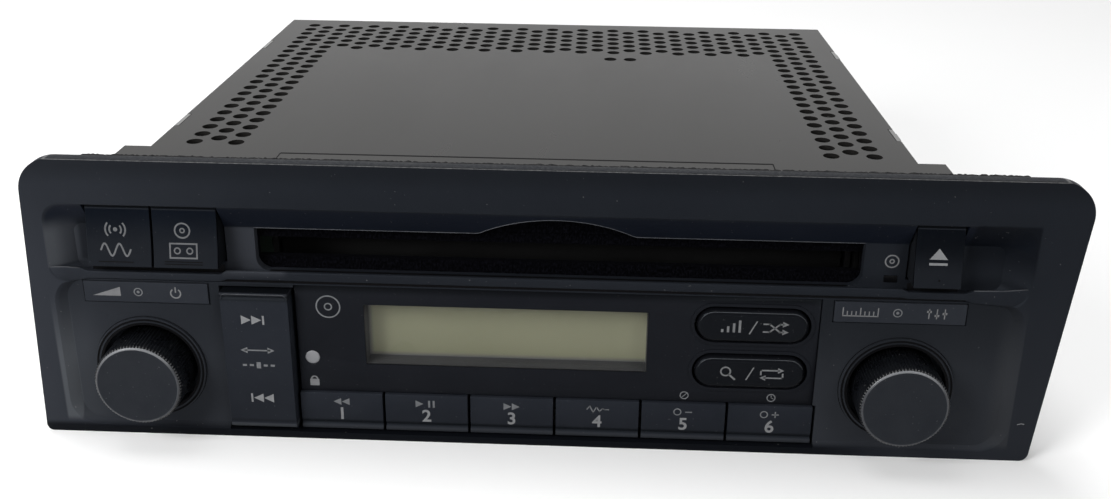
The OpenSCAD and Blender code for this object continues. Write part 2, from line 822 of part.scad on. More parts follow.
// Disc deck
module deck_plate() {
    color("LightSteelBlue") from_front() difference() {
        union() {
            block(deck_left, deck_right, deck_front, deck_rear, deck_low, deck_top);
            for (x = [panel_x - bearing_x - lug_t, panel_x + bearing_x])
                block(x, x + lug_t, roller_y - 4, roller_y + 4, deck_top - cut, path_high);
            for (y = [lug_front_y, lug_rear_y]) {
                block(panel_x - rod_half - lug_side, screw_x + lug_side, y, y + lug_t,
                      deck_top - cut, rod_level + 2.6);
                block(screw_x - lug_side, screw_x + lug_side, y, y + lug_t, deck_top - cut, screw_z + 2.4);
            }
            for (x = [hinge_left - 2.6, hinge_right])
                block(x, x + 2.6, hinge_y - 4, hinge_y + 4, deck_top - cut, hinge_z + 3);
        }
        for (p = deck_posts) rod_z(p[0], p[1], screw_hole_r + 0.5, deck_low - cut, deck_top + cut);
        rod_z(panel_x, spindle_y, 3, deck_low - cut, deck_top + cut);
        rod_x(deck_left, deck_right, roller_y, roller_z, roller_pin_r + slip);
        for (s = [-1, 1])
            rod_y(panel_x + s * rod_half, rod_level, rod_r + slip / 2,
                  lug_front_y - cut, lug_rear_y + lug_t + cut);
        rod_y(screw_x, screw_z, screw_r + slip, lug_front_y - cut, lug_rear_y + lug_t + cut);
        rod_x(hinge_left - 3, hinge_right + 3, hinge_y, hinge_z, hinge_pin_r + slip);
    }
}

module deck_dampers() {
    color("Black") from_front() for (p = deck_posts) difference() {
        rod_z(p[0], p[1], damper_r, deck_low - damper_h, deck_low);
        rod_z(p[0], p[1], screw_hole_r + 0.4, deck_low - damper_h - cut, deck_low + cut);
    }
}

module deck_screws() {
    color("Silver") from_front() for (p = deck_posts) {
        rod_z(p[0], p[1], screw_hole_r, deck_low - damper_h - deck_screw_l, deck_top + cut);
        rod_z(p[0], p[1], deck_head_r, deck_top, deck_top + small_head_h);
    }
}

module spindle_motor() {
    color("Gray") from_front() difference() {
        rod_z(panel_x, spindle_y, 11, deck_low - 11, deck_low);
        rod_z(panel_x, spindle_y, 1 + slip, deck_low - 10, deck_low + cut);
    }
}

module turntable() {
    color("Black") from_front() {
        rod_z(panel_x, spindle_y, 1, deck_low - 9, deck_top + 4);
        rod_z(panel_x, spindle_y, 4, deck_top + 1, deck_top + 8);
        rod_z(panel_x, spindle_y, turntable_r, deck_top + 7.4, deck_top + 9);
        rod_z(panel_x, spindle_y, 7.4, deck_top + 8.9, deck_top + 10.2);
        translate([panel_x, spindle_y, deck_top + 10.2]) cylinder(r1 = 7.4, r2 = 6.2, h = 1.2);
    }
}

module pickup_sled() {
    low = deck_top + 0.5;
    color("Gray") from_front() difference() {
        union() {
            block(panel_x - 19, panel_x + 19, sled_y - sled_half, sled_y + sled_half, low, low + 5.8);
            block(panel_x + 18.9, screw_x + 3.2, sled_y - 4, sled_y + 4, low, screw_z + 3);
            rod_z(panel_x, sled_y, 3, low + 5.7, low + 7);
        }
        for (s = [-1, 1])
            rod_y(panel_x + s * rod_half, rod_level, rod_r + slip,
                  sled_y - sled_half - cut, sled_y + sled_half + cut);
        rod_y(screw_x, screw_z, screw_r + slip, sled_y - 5, sled_y + 5);
    }
}

module guide_rods() {
    color("Silver") from_front() for (s = [-1, 1])
        rod_y(panel_x + s * rod_half, rod_level, rod_r, lug_front_y, lug_rear_y + lug_t);
}

module lead_screw() {
    color("Silver") from_front() {
        rod_y(screw_x, screw_z, screw_r, lug_front_y - 3, lug_rear_y + lug_t);
        rod_y(screw_x, screw_z, 0.8, lug_front_y - 10, lug_front_y - 2.9);
    }
}

module sled_motor() {
    rear = lug_front_y - 3.4;
    color("Gray") from_front() difference() {
        union() {
            rod_y(screw_x, screw_z, 5, rear - motor_l, rear);
            block(screw_x - 4, screw_x + 4, rear - motor_l, rear, deck_top, screw_z);
        }
        rod_y(screw_x, screw_z, 0.8 + slip, rear - 7, rear + cut);
    }
}

module clamp_arm() {
    color("Silver") from_front() difference() {
        union() {
            block(panel_x - 13.5, panel_x + 13.5, spindle_y - 15, hinge_y, arm_low, arm_low + arm_t);
            block(hinge_left + 0.4, hinge_right - 0.4, hinge_y - 12, hinge_y, arm_low, arm_low + arm_t);
            rod_x(hinge_left + 0.4, hinge_right - 0.4, hinge_y, hinge_z, 1.8);
            rod_x(hinge_left - 2.4, hinge_right + 2.4, hinge_y, hinge_z, hinge_pin_r);
        }
        rod_z(panel_x, spindle_y, 3 + slip, arm_low - cut, arm_low + arm_t + cut);
    }
}

module clamper() {
    color("Black") from_front() {
        rod_z(panel_x, spindle_y, 13, path_high + 0.1, arm_low - 0.1);
        rod_z(panel_x, spindle_y, 3, arm_low - 0.2, arm_low + arm_t + 0.2);
        rod_z(panel_x, spindle_y, 5, arm_low + arm_t + 0.1, arm_low + arm_t + 1);
    }
}

// Loader: the roller under the disc path, its belt and motor, and the guide above
module pulley(x, y, z, r) {
    rod_x(x, x + 0.7, y, z, r + 0.9);
    rod_x(x, x + pulley_t, y, z, r);
    rod_x(x + pulley_t - 0.7, x + pulley_t, y, z, r + 0.9);
}

module loading_roller() {
    color([0.2, 0.2, 0.2]) from_front() {
        rod_x(panel_x - bearing_x + 1, panel_x + bearing_x - 1, roller_y, roller_z, roller_r);
        rod_x(panel_x - bearing_x - lug_t - 1, panel_x + pulley_x + cut, roller_y, roller_z, roller_pin_r);
        pulley(panel_x + pulley_x, roller_y, roller_z, roller_pulley_r);
    }
}

module loading_motor() {
    front = panel_x + pulley_x - 1;
    color("Gray") from_front() difference() {
        union() {
            rod_x(front - motor_l, front, loading_motor_y, loading_motor_z, loading_motor_r);
            block(front - motor_l, front - 2, loading_motor_y - 4, loading_motor_y + 4,
                  deck_top, loading_motor_z);
        }
        rod_x(front - 8, front + cut, loading_motor_y, loading_motor_z, 1 + slip);
    }
}

module motor_pulley() {
    color("White") from_front() {
        pulley(panel_x + pulley_x, loading_motor_y, loading_motor_z, motor_pulley_r);
        rod_x(panel_x + pulley_x - 7, panel_x + pulley_x + cut, loading_motor_y, loading_motor_z, 1);
    }
}

module belt_loop(grow) {
    hull() {
        translate([roller_y, roller_z]) circle(roller_pulley_r + grow);
        translate([loading_motor_y, loading_motor_z]) circle(motor_pulley_r + grow);
    }
}

module loading_belt() {
    left = panel_x + pulley_x;
    color("Black") from_front() along_x(left + 0.9, left + pulley_t - 0.9) difference() {
        belt_loop(0.8);
        belt_loop(0.1);
    }
}

module disc_guide() {
    color("Silver") from_front() block(panel_x - bearing_x - lug_t, panel_x + bearing_x + lug_t,
                                       roller_y - 5, roller_y + 6, path_high, path_high + 1);
}

// Electronics and rear
module main_board() {
    color("DarkGreen") from_front() translate([0, 0, main_z]) linear_extrude(board_t) difference() {
        area(-main_half, main_half, main_front, main_rear);
        for (p = deck_posts) translate(p) circle(post_r + press_gap);
        for (p = main_screws) translate(p) circle(small_screw_r + press_gap);
    }
}

module power_amplifier() {
    color("Black") from_front()
        block(amplifier_x, amplifier_x + amplifier_w, main_rear - 6, rear_inner,
              main_z + board_t, main_z + board_t + amplifier_h);
}

module heat_sink() {
    left = 18;
    right = half_w - 13;
    fin_t = 2;
    color("DarkGray") from_front() {
        block(left, right, chassis_back, chassis_back + 4, 4, cover_z - 3);
        for (i = [0 : fin_count - 1])
            block(left + i * (right - left - fin_t) / (fin_count - 1),
                  left + i * (right - left - fin_t) / (fin_count - 1) + fin_t,
                  chassis_back + 4 - cut, chassis_back + 14, 4, cover_z - 3);
    }
}

module harness_connector() {
    color("White") from_front() difference() {
        block(connector_x0, connector_x1, main_rear - 2, connector_back, main_z + board_t, connector_top);
        block(connector_x0 + connector_wall, connector_x1 - connector_wall, chassis_back - 3,
              connector_back + cut, main_z + board_t + connector_wall, connector_top - connector_wall);
    }
}

module antenna_socket() {
    color("Silver") from_front() difference() {
        union() {
            rod_y(antenna_x, antenna_z, antenna_r + antenna_wall, chassis_back - 8, chassis_back + 11);
            rod_y(antenna_x, antenna_z, antenna_r + antenna_wall + 2, chassis_back, chassis_back + 1.2);
        }
        rod_y(antenna_x, antenna_z, antenna_r, chassis_back - 4, chassis_back + 11 + cut);
    }
}

module chassis_screw() {
    rod_y(0, 0, screw_hole_r, 0, 7);
    rod_y(0, 0, 2.9, -1.7, 0);
}

module chassis_screws() {
    color("Silver") from_front() for (s = [-1, 1]) for (z = side_screw_z) {
        translate([s * side_screw_x, nose_back - 1, z]) chassis_screw();
        translate([s * side_screw_x, chassis_back, z]) mirror([0, 1, 0]) chassis_screw();
    }
}

module board_screw() {
    rod_z(0, 0, small_screw_r, -small_screw_l, 0);
    rod_z(0, 0, small_head_r, 0, small_head_h);
}

module board_screws() {
    color("Silver") from_front() {
        for (p = main_screws) translate([p[0], p[1], main_z + board_t]) board_screw();
        for (p = control_screws) translate([p[0], board_back, p[1]]) rotate([-90, 0, 0]) board_screw();
    }
}

// Every node, drawn alone or together
top_cover();
bottom_cover();
left_side_plate();
right_side_plate();
rear_panel();
front_frame();
front_bezel();
foam_seal();
display_panel();
display_window();
lcd_module();
lcd_holder();
preset_button_1();
preset_button_2();
preset_button_3();
preset_button_4();
preset_button_5();
preset_button_6();
seek_rocker();
band_button();
source_button();
eject_button();
select_button();
scan_button();
volume_knob();
volume_shaft();
volume_rotor();
volume_encoder();
tune_knob();
tune_shaft();
tune_rotor();
tune_encoder();
label_plates();
indicator_lamps();
slot_felt();
control_board();
tact_switches();
deck_plate();
deck_dampers();
deck_screws();
spindle_motor();
turntable();
pickup_sled();
guide_rods();
lead_screw();
sled_motor();
clamp_arm();
clamper();
loading_roller();
loading_motor();
motor_pulley();
loading_belt();
disc_guide();
main_board();
power_amplifier();
heat_sink();
harness_connector();
antenna_socket();
chassis_screws();
board_screws();
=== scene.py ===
"""Looks of the dashboard radio and disc player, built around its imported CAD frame."""

import json
import math
import random

import bmesh
import bpy
from mathutils import Matrix, Vector


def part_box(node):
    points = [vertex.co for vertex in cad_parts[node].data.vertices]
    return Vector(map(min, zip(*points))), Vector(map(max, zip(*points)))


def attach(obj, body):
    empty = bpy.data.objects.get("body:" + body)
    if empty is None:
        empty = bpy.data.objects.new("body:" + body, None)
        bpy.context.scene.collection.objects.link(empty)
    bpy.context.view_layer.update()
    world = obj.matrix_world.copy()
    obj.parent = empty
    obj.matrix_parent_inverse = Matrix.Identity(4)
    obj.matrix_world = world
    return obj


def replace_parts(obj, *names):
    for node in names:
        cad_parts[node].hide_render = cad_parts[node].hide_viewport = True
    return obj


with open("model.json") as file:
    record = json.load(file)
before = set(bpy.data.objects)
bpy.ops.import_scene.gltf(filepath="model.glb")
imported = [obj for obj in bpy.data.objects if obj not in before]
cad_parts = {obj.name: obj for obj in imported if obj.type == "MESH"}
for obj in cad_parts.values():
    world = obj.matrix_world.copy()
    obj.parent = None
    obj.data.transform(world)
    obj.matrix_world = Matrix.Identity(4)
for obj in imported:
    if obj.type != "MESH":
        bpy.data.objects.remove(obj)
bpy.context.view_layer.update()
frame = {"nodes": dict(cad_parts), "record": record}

NODES = frame["nodes"]
MM = 0.001
FRONT_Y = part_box("front_bezel")[0][1]
BEZEL_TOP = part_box("front_bezel")[1][2] / MM
CHANCE = random.Random(7)

# In millimetres: how far prints stand off a face, and how near points are joined
PRINT_LIFT = 0.03
WELD = 0.002


def at(x, depth, z):
    """Point in metres from millimetres, with the depth measured from the bezel front."""
    return Vector((x * MM, FRONT_Y + depth * MM, z * MM))


def span(node):
    """A CAD node's limits in millimetres: left, right, front depth, back depth, low and high."""
    low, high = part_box(node)
    front, back = (low.y - FRONT_Y) / MM, (high.y - FRONT_Y) / MM
    return low.x / MM, high.x / MM, front, back, low.z / MM, high.z / MM


# Material recipes
MIX_FIRST, MIX_SECOND, MIX_RESULT = 6, 7, 2


def grey(level):
    return (level, level, level)


class Shader:
    """A material and its colour so far, with the node recipes that the surfaces share."""

    def __init__(self, name):
        self.material = bpy.data.materials.new(name)
        self.material.use_nodes = True
        self.nodes = self.material.node_tree.nodes
        self.links = self.material.node_tree.links
        self.principled = self.nodes["Principled BSDF"]
        self.place = self.node("TexCoord").outputs["Object"]
        self.colour = None

    def feed(self, socket, value):
        if isinstance(value, bpy.types.NodeSocket):
            self.links.new(value, socket)
        else:
            socket.default_value = value

    def feed_named(self, node, inputs):
        for name, value in inputs.items():
            self.feed(node.inputs[name.replace("_", " ")], value)

    def node(self, kind, **inputs):
        node = self.nodes.new("ShaderNode" + kind)
        self.feed_named(node, inputs)
        return node

    def paint(self, roughness, gloss=0.5, **more):
        """Feeds the surface and gives its material."""
        inputs = {"Base_Color": self.colour, "Roughness": roughness, "Specular_IOR_Level": gloss}
        self.feed_named(self.principled, {**inputs, **more})
        return self.material

    def noise(self, scale, detail, roughness=0.5, stretch=(1, 1, 1)):
        place = self.node("Mapping", Vector=self.place, Scale=stretch).outputs["Vector"]
        texture = self.node("TexNoise", Vector=place, Scale=scale, Detail=detail, Roughness=roughness)
        return texture.outputs["Fac"]

    def cells(self, scale):
        return self.node("TexVoronoi", Vector=self.place, Scale=scale).outputs["Color"]

    def ramp(self, source, first, second, low=0.3, high=0.7):
        """Goes from a first tone or number to a second while the source rises from low to high."""
        node = self.node("ValToRGB", Fac=source)
        for element, place, tone in zip(node.color_ramp.elements, (low, high), (first, second)):
            element.position = place
            element.color = (*grey(tone), 1) if isinstance(tone, (int, float)) else (*tone, 1)
        return node.outputs["Color"]

    def mix(self, factor, first, second):
        node = self.node("Mix")
        node.data_type = "RGBA"
        self.feed(node.inputs[0], factor)
        for socket, tone in ((MIX_FIRST, first), (MIX_SECOND, second)):
            self.feed(node.inputs[socket], tone if isinstance(tone, bpy.types.NodeSocket) else (*tone, 1))
        return node.outputs[MIX_RESULT]

    def math(self, operation, first, second):
        node = self.node("Math")
        node.operation = operation
        self.feed(node.inputs[0], first)
        self.feed(node.inputs[1], second)
        return node.outputs[0]

    def times(self, first, second):
        return self.math("MULTIPLY", first, second)

    def axis(self, name):
        return self.node("SeparateXYZ", Vector=self.place).outputs[name]

    def step(self, value, low, high):
        """0 below low, 1 above high and a smooth rise between, or a fall where low is above high."""
        node = self.node("MapRange", Value=value, From_Min=low, From_Max=high)
        node.interpolation_type = "SMOOTHSTEP"
        return node.outputs["Result"]

    def rise(self, place, low, high):
        """A step between two places in millimetres."""
        return self.step(place, low * MM, high * MM)

    def between(self, name, low, high, soft):
        """1 between two places along an axis and 0 beyond, all in millimetres, with soft limits."""
        place = self.axis(name)
        above = self.rise(place, low - soft, low + soft)
        below = self.rise(place, high + soft, high - soft)
        return self.times(above, below)

    def patch(self, left, right, low, high):
        """1 within limits in X and Z. Each limit is two places in millimetres: where it is 0 and where 1."""
        across, height = self.axis("X"), self.axis("Z")
        mask = self.rise(across, *left)
        for place, limit in ((across, right), (height, low), (height, high)):
            mask = self.times(mask, self.rise(place, *limit))
        return mask

    def wash(self, mask, tone, strength=1.0):
        """Lays a tone over the colour where a mask is 1."""
        self.colour = self.mix(self.times(mask, strength), self.colour, tone)

    def bands(self, bands):
        """Lays bands of other tones over the colour at some heights."""
        for low, high, soft, tone in bands:
            self.wash(self.between("Z", low, high, soft), tone)

    def specks(self, amount, scale=1900, limits=(0.745, 0.79), tone=grey(0.3)):
        """Lays a few specks of dust over the colour."""
        self.wash(self.ramp(self.noise(scale, 1), 0, amount, *limits), tone)

    def relief(self, height, strength, distance=0.0001):
        bump = self.node("Bump", Strength=strength, Distance=distance, Height=height)
        self.links.new(bump.outputs["Normal"], self.principled.inputs["Normal"])


# Tones and places that the materials share, in millimetres
BLUISH = (0.75, 0.87, 1.0, 1)
FACE_GLOSS = {"gloss": 0.06, "Specular_Tint": BLUISH}
UPPER_LOW, UPPER_HIGH = 36.55, 49.6
UPPER_LEAN = 0.156

# Painted light and shade on the bezel, lighter and darker patches at the ends of its channel and field: the
# limits of each, as a patch takes them, and its tone
LIT_AND_SHADED_PATCHES = [
    (((-98.7, -98.3), (-90.5, -96.5), (35.2, 35.9), (47.5, 42.5)), (0.046, 0.05, 0.058)),
    (((-98.7, -98.3), (-95.2, -97.6), (35.2, 35.9), (46.5, 42.5)), (0.068, 0.073, 0.082)),
    (((-93.6, -92.4), (-89.0, -90.0), (35.5, 36.5), (47.0, 44.0)), (0.0075, 0.0085, 0.011)),
    (((-62.5, -61.8), (-48.0, -50.0), (33.5, 35.5), (44.6, 43.6)), (0.03, 0.0325, 0.039)),
    (((-99.6, -99.1), (-95.7, -96.2), (-1.6, 0.0), (31.0, 13.0)), (0.07, 0.0755, 0.084)),
    (((-96.2, -95.7), (-88.0, -95.0), (-1.6, 0.0), (31.0, 13.0)), (0.036, 0.0395, 0.046)),
    (((91.0, 92.0), (104.6, 104.0), (36.5, 43.5), (50.5, 49.8)), (0.0006, 0.0009, 0.002)),
    (((98.5, 102.2), (104.6, 104.2), (-1.6, 0.0), (36.0, 12.0)), (0.03, 0.032, 0.036)),
]

# Bands of painted light and shade on some pieces: the low and high limit of each, how soft they are, and the
# tone
# Rocker: painted highlights on the crest of its rolled top and on its foot, painted shade on its top, below
# the crest, low on its face and below the foot.
ROCKER_LIGHT_AND_SHADE = [
    (29.35, 30.5, 0.35, (0.0075, 0.0085, 0.0105)), (30.65, 31.1, 0.12, (0.016, 0.0175, 0.021)),
    (31.14, 40, 0.03, (0.003, 0.0035, 0.0045)), (0.05, 0.85, 0.35, (0.009, 0.010, 0.013)),
    (-0.95, -0.15, 0.12, (0.034, 0.037, 0.043)), (-5, -1.1, 0.15, (0.004, 0.005, 0.007)),
]
# Preset keys: painted shade above the roll at the foot, and a painted highlight on the roll.
PRESET_LIGHT_AND_SHADE = [(-0.85, 0.3, 0.35, (0.007, 0.0082, 0.0105)), (-2.05, -1.0, 0.2, (0.0225, 0.0245, 0.029))]
# Panel: painted shade along its top, under the ridge.
PANEL_TOP_SHADE = [(31.1, 40, 0.9, (0.002, 0.0022, 0.0028))]
# Knob rim: painted highlight along its top.
KNOB_TOP_HIGHLIGHT = [(17.5, 40, 2.5, (0.15, 0.155, 0.165))]
# Buttons beside the slot: a painted highlight just below the top edge and painted shade above it.
UPPER_EDGE_LIGHT_AND_SHADE = [(48.8, 49.05, 0.05, (0.012, 0.0135, 0.017)), (49.15, 52, 0.05, (0.0006, 0.0006, 0.0008))]


def bezel_plastic():
    """Grained plastic with specks of dust, and painted light and shade: lighter low down and at its left, lit
    and shaded patches at its ends, darker under the channel's ceiling, along its top and under the keys, and
    a painted highlight along its top edge.
    """
    shade = Shader("bezel_plastic")
    across, depth, height = (shade.axis(name) for name in "XYZ")
    front = FRONT_Y / MM
    clouds = shade.noise(35, 5, 0.65)
    shade.colour = shade.ramp(clouds, (0.0086, 0.0100, 0.0132), (0.0108, 0.0125, 0.0160))
    # Painted light from below: lighter low down.
    lit_low_down = shade.rise(height, 48, -4)
    shade.wash(lit_low_down, (0.0225, 0.0248, 0.0305), 0.55)
    sunk = shade.rise(depth, front + 0.05, front + 0.6)
    # Painted shade: the sunk field is darker towards its top, under the ridge, and lighter low down.
    field = shade.times(sunk, shade.rise(height, 32.8, 32.2))
    field_shade = shade.mix(shade.rise(height, 33, 2), (0.0092, 0.0104, 0.0128), (0.026, 0.0285, 0.034))
    shade.wash(field, field_shade)
    # Painted light: lighter towards the left, half as much where the face is sunk.
    lit_left = shade.times(shade.rise(across, -40, -104), shade.rise(height, 75, 30))
    proud = shade.math("SUBTRACT", 1.0, shade.times(sunk, 0.5))
    shade.wash(shade.times(lit_left, proud), (0.0262, 0.0290, 0.0360), 0.8)
    # Painted shade under the channel's ceiling, which faces down.
    shaded_ceiling = shade.times(sunk, shade.rise(height, 43.8, 44.6))
    shade.wash(shaded_ceiling, (0.003, 0.0045, 0.0095), 0.75)
    # Painted light and shade at the ends of the channel and the field.
    for limits, tone in LIT_AND_SHADED_PATCHES:
        shade.wash(shade.patch(*limits), tone, 0.85)
    # Painted shade along the foot of the bezel, under the keys.
    foot = shade.times(shade.rise(height, -1.2, -2.6), shade.rise(across, 85, 60))
    shade.wash(foot, (0.0022, 0.0026, 0.0038))
    shade.specks(0.35, 1500, (0.755, 0.8), grey(0.22))
    # Painted shade: darker towards the top of the face.
    shaded_crown = shade.rise(height, BEZEL_TOP - 6, BEZEL_TOP - 1)
    shade.wash(shaded_crown, grey(0.001), 0.38)
    on_top = shade.rise(height, BEZEL_TOP - 0.1, BEZEL_TOP - 0.04)
    crumbs = shade.ramp(shade.noise(1300, 5, 0.8), 0.05, 0.3, 0.42, 0.62)
    shade.wash(on_top, grey(0.07), crumbs)
    # Painted highlight along the rounded top edge, broken up by noise.
    top_edge = shade.between("Z", BEZEL_TOP - 0.26, BEZEL_TOP - 0.1, 0.03)
    top_highlight = shade.ramp(shade.noise(900, 4, 0.75), 0.35, 1.0, 0.35, 0.65)
    shade.wash(top_edge, grey(0.15), top_highlight)
    shade.relief(shade.noise(4200, 2), 0.22)
    return shade.paint(shade.ramp(clouds, 0.46, 0.6), **FACE_GLOSS)


def coated_steel(name, dark, light):
    """Coated sheet with faint smears along its depth."""
    shade = Shader(name)
    clouds = shade.noise(22, 6, 0.65, (1, 0.35, 1))
    shade.colour = shade.ramp(clouds, dark, light, 0.28, 0.72)
    marks = shade.ramp(shade.noise(420, 3, 0.6), 0, 0.25, 0.7, 0.78)
    shade.wash(marks, grey(0.01))
    shade.relief(shade.noise(2600, 2), 0.05)
    return shade.paint(shade.ramp(clouds, 0.26, 0.33, 0.28, 0.72), gloss=0.12)


def zinc_steel():
    """Dulled zinc plating with a faint spangle and long rolling marks."""
    shade = Shader("zinc_steel")
    rolled = shade.noise(70, 4, 0.6, (0.06, 0.06, 1))
    shade.colour = shade.ramp(rolled, grey(0.20), (0.27, 0.27, 0.265))
    spangle = shade.ramp(shade.cells(260), 0, 0.4, 0.2, 0.8)
    shade.wash(spangle, (0.17, 0.17, 0.172))
    shade.relief(rolled, 0.08)
    return shade.paint(shade.ramp(rolled, 0.34, 0.46), Metallic=1.0)


def display_glass():
    """Unlit display: olive, paler towards its frame, and grey along its left and lower edges, partly its
    frame and partly painted shade.
    """
    shade = Shader("display_glass")
    left, right, _front, _back, low, high = span("display_window")
    behind_frame, edge, side_fade, top_fade = 0.2, 1.4, 8, 5
    left, low = left - behind_frame, low - behind_frame
    across, height = shade.axis("X"), shade.axis("Z")
    clouds = shade.noise(30, 2, 0.5)
    olive = shade.ramp(clouds, (0.235, 0.239, 0.158), (0.255, 0.257, 0.172), 0.35, 0.65)
    middle = shade.rise(across, left, left + side_fade)
    middle = shade.times(middle, shade.rise(across, right, right - side_fade))
    middle = shade.times(middle, shade.rise(height, high, high - top_fade))
    olive = shade.mix(middle, (0.33, 0.332, 0.225), olive)
    # Grey strip along the left and lower edges: partly the display's frame and partly painted shade.
    inside = shade.times(shade.rise(across, left, left + edge), shade.rise(height, low, low + edge))
    shade.colour = shade.mix(inside, (0.13, 0.13, 0.133), olive)
    shade.relief(shade.noise(900, 2), 0.02)
    return shade.paint(shade.ramp(clouds, 0.25, 0.32), gloss=0.2)


def clear_window():
    """Clear plastic with faint smears."""
    shade = Shader("clear_window")
    smear = shade.noise(60, 4, 0.6)
    shade.colour = shade.ramp(smear, (0.02, 0.02, 0.022), (0.03, 0.03, 0.032))
    return shade.paint(shade.ramp(smear, 0.04, 0.12), gloss=0.3, Alpha=0.08)


def felt():
    """Dark felt with pale fibres."""
    shade = Shader("felt")
    fibres = shade.noise(2600, 4, 0.7, (1, 1, 0.5))
    shade.colour = shade.ramp(fibres, (0.0006, 0.0006, 0.001), (0.007, 0.007, 0.010), 0.45, 0.75)
    shade.relief(fibres, 0.9, 0.0003)
    return shade.paint(1.0, gloss=0.02)


def slot_button():
    """Satin plastic of the buttons beside the slot, with specks of dust and painted light and shade: dark
    along the top and more so on the right button, a painted highlight under the top edge and painted shade
    above it, and sides lighter facing right, darker facing left and dark near the front.
    """
    shade = Shader("slot_button")
    depth, height = shade.axis("Y"), shade.axis("Z")
    clouds = shade.noise(70, 4, 0.6)
    lower = shade.ramp(clouds, (0.0085, 0.0098, 0.0126), (0.0108, 0.0122, 0.0152))
    # Painted shade: darker towards the top, under the channel's ceiling.
    upper = shade.ramp(clouds, (0.0014, 0.0024, 0.0048), (0.0022, 0.0034, 0.0064))
    shade.colour = shade.mix(shade.rise(height, 49, 39.5), upper, lower)
    # Painted shade over the upper part of the right button.
    shaded_right_button = shade.patch((70, 71), (100, 99), (38, 46), (60, 59))
    shade.wash(shaded_right_button, (0.0006, 0.0008, 0.0014), 0.7)
    shade.specks(0.1)
    # Painted light and shade on the sides: lighter facing right, darker facing left, and dark near the front
    # where the gap is in shade.
    normal = shade.node("NewGeometry").outputs["Normal"]
    rightwards = shade.node("SeparateXYZ", Vector=normal).outputs["X"]
    side = shade.mix(shade.step(rightwards, -0.5, 0.5), (0.009, 0.010, 0.012), (0.006, 0.0066, 0.008))
    lean = shade.times(shade.math("SUBTRACT", height, UPPER_LOW * MM), UPPER_LEAN)
    behind = shade.math("SUBTRACT", shade.math("SUBTRACT", depth, FRONT_Y - 1 * MM), lean)
    side = shade.mix(shade.rise(behind, 0.6, 1.0), (0.0015, 0.0015, 0.002), side)
    sideways = shade.step(shade.math("ABSOLUTE", rightwards, 0.0), 0.6, 0.9)
    shade.wash(sideways, side)
    # Painted highlight below the top edge and painted shade above it.
    shade.bands(UPPER_EDGE_LIGHT_AND_SHADE)
    shade.relief(shade.noise(3800, 2), 0.1)
    return shade.paint(shade.ramp(clouds, 0.3, 0.4), gloss=0.04, Specular_Tint=BLUISH)


MATERIALS = {
    "cover_steel": coated_steel("cover_steel", (0.0115, 0.0109, 0.0104), (0.0155, 0.0148, 0.0142)),
    "frame_plastic": coated_steel("frame_coat", (0.013, 0.0124, 0.0118), (0.0175, 0.0168, 0.016)),
    "chassis_steel": zinc_steel(),
    "bezel_plastic": bezel_plastic(),
    "slot_button": slot_button(),
    "lcd_glass": display_glass(),
    "clear_window": clear_window(),
    "felt": felt(),
}


def finish(name, dark, light, rough, cloud=60, grain=3000, bump=0.05, dust=0.0, stretch=(1, 1, 1),
           bands=(), **more):
    """Adds a cloudy two-tone surface with grain, a few specks of dust and bands of painted light and shade at
    some heights.
    """
    shade = Shader(name)
    clouds = shade.noise(cloud, 5, 0.6, stretch)
    shade.colour = shade.ramp(clouds, dark, light)
    shade.bands(bands)
    if dust:
        shade.specks(dust)
    shade.relief(shade.noise(grain, 2, 0.5, stretch), bump)
    MATERIALS[name] = shade.paint(shade.ramp(clouds, *rough), **more)


# Plastic of the keys; the preset keys and the rocker get bands of painted light and shade.
for name, bands in (("button", ()), ("preset", PRESET_LIGHT_AND_SHADE), ("rocker", ROCKER_LIGHT_AND_SHADE)):
    finish(name + "_plastic", (0.0115, 0.0132, 0.0175), (0.0155, 0.0175, 0.0225), (0.34, 0.46), cloud=70,
           grain=3800, bump=0.1, dust=0.1, bands=bands, **FACE_GLOSS)
for name, dark, light in (
    ("print", (0.15, 0.153, 0.16), (0.2, 0.204, 0.21)),
    ("label_print", (0.11, 0.112, 0.117), (0.15, 0.153, 0.159)),
    ("dim_print", (0.085, 0.089, 0.096), (0.13, 0.135, 0.143)),
    ("faint_print", (0.06, 0.062, 0.068), (0.086, 0.089, 0.095)),
):
    finish(name, dark, light, (0.5, 0.6), cloud=400, grain=3500)
finish("pill_plastic", (0.0028, 0.003, 0.004), (0.004, 0.0043, 0.0056), (0.16, 0.24), cloud=70, grain=2500,
       bump=0.03, dust=0.1, **FACE_GLOSS)
finish("knob_plastic", (0.0155, 0.0172, 0.021), (0.0195, 0.0215, 0.0255), (0.44, 0.56), cloud=160, grain=4500,
       bump=0.25, dust=0.12, **FACE_GLOSS)
finish("knob_side", (0.0025, 0.003, 0.0042), (0.005, 0.0056, 0.0072), (0.24, 0.34), cloud=400, grain=5200,
       bump=0.3, dust=0.3, gloss=0.45)
# Knob rim, paler than the face, with a painted highlight along its top.
finish("knob_rim", (0.02, 0.022, 0.027), (0.036, 0.039, 0.045), (0.3, 0.4), cloud=300, grain=4200, bump=0.1,
       bands=KNOB_TOP_HIGHLIGHT, gloss=0.4)
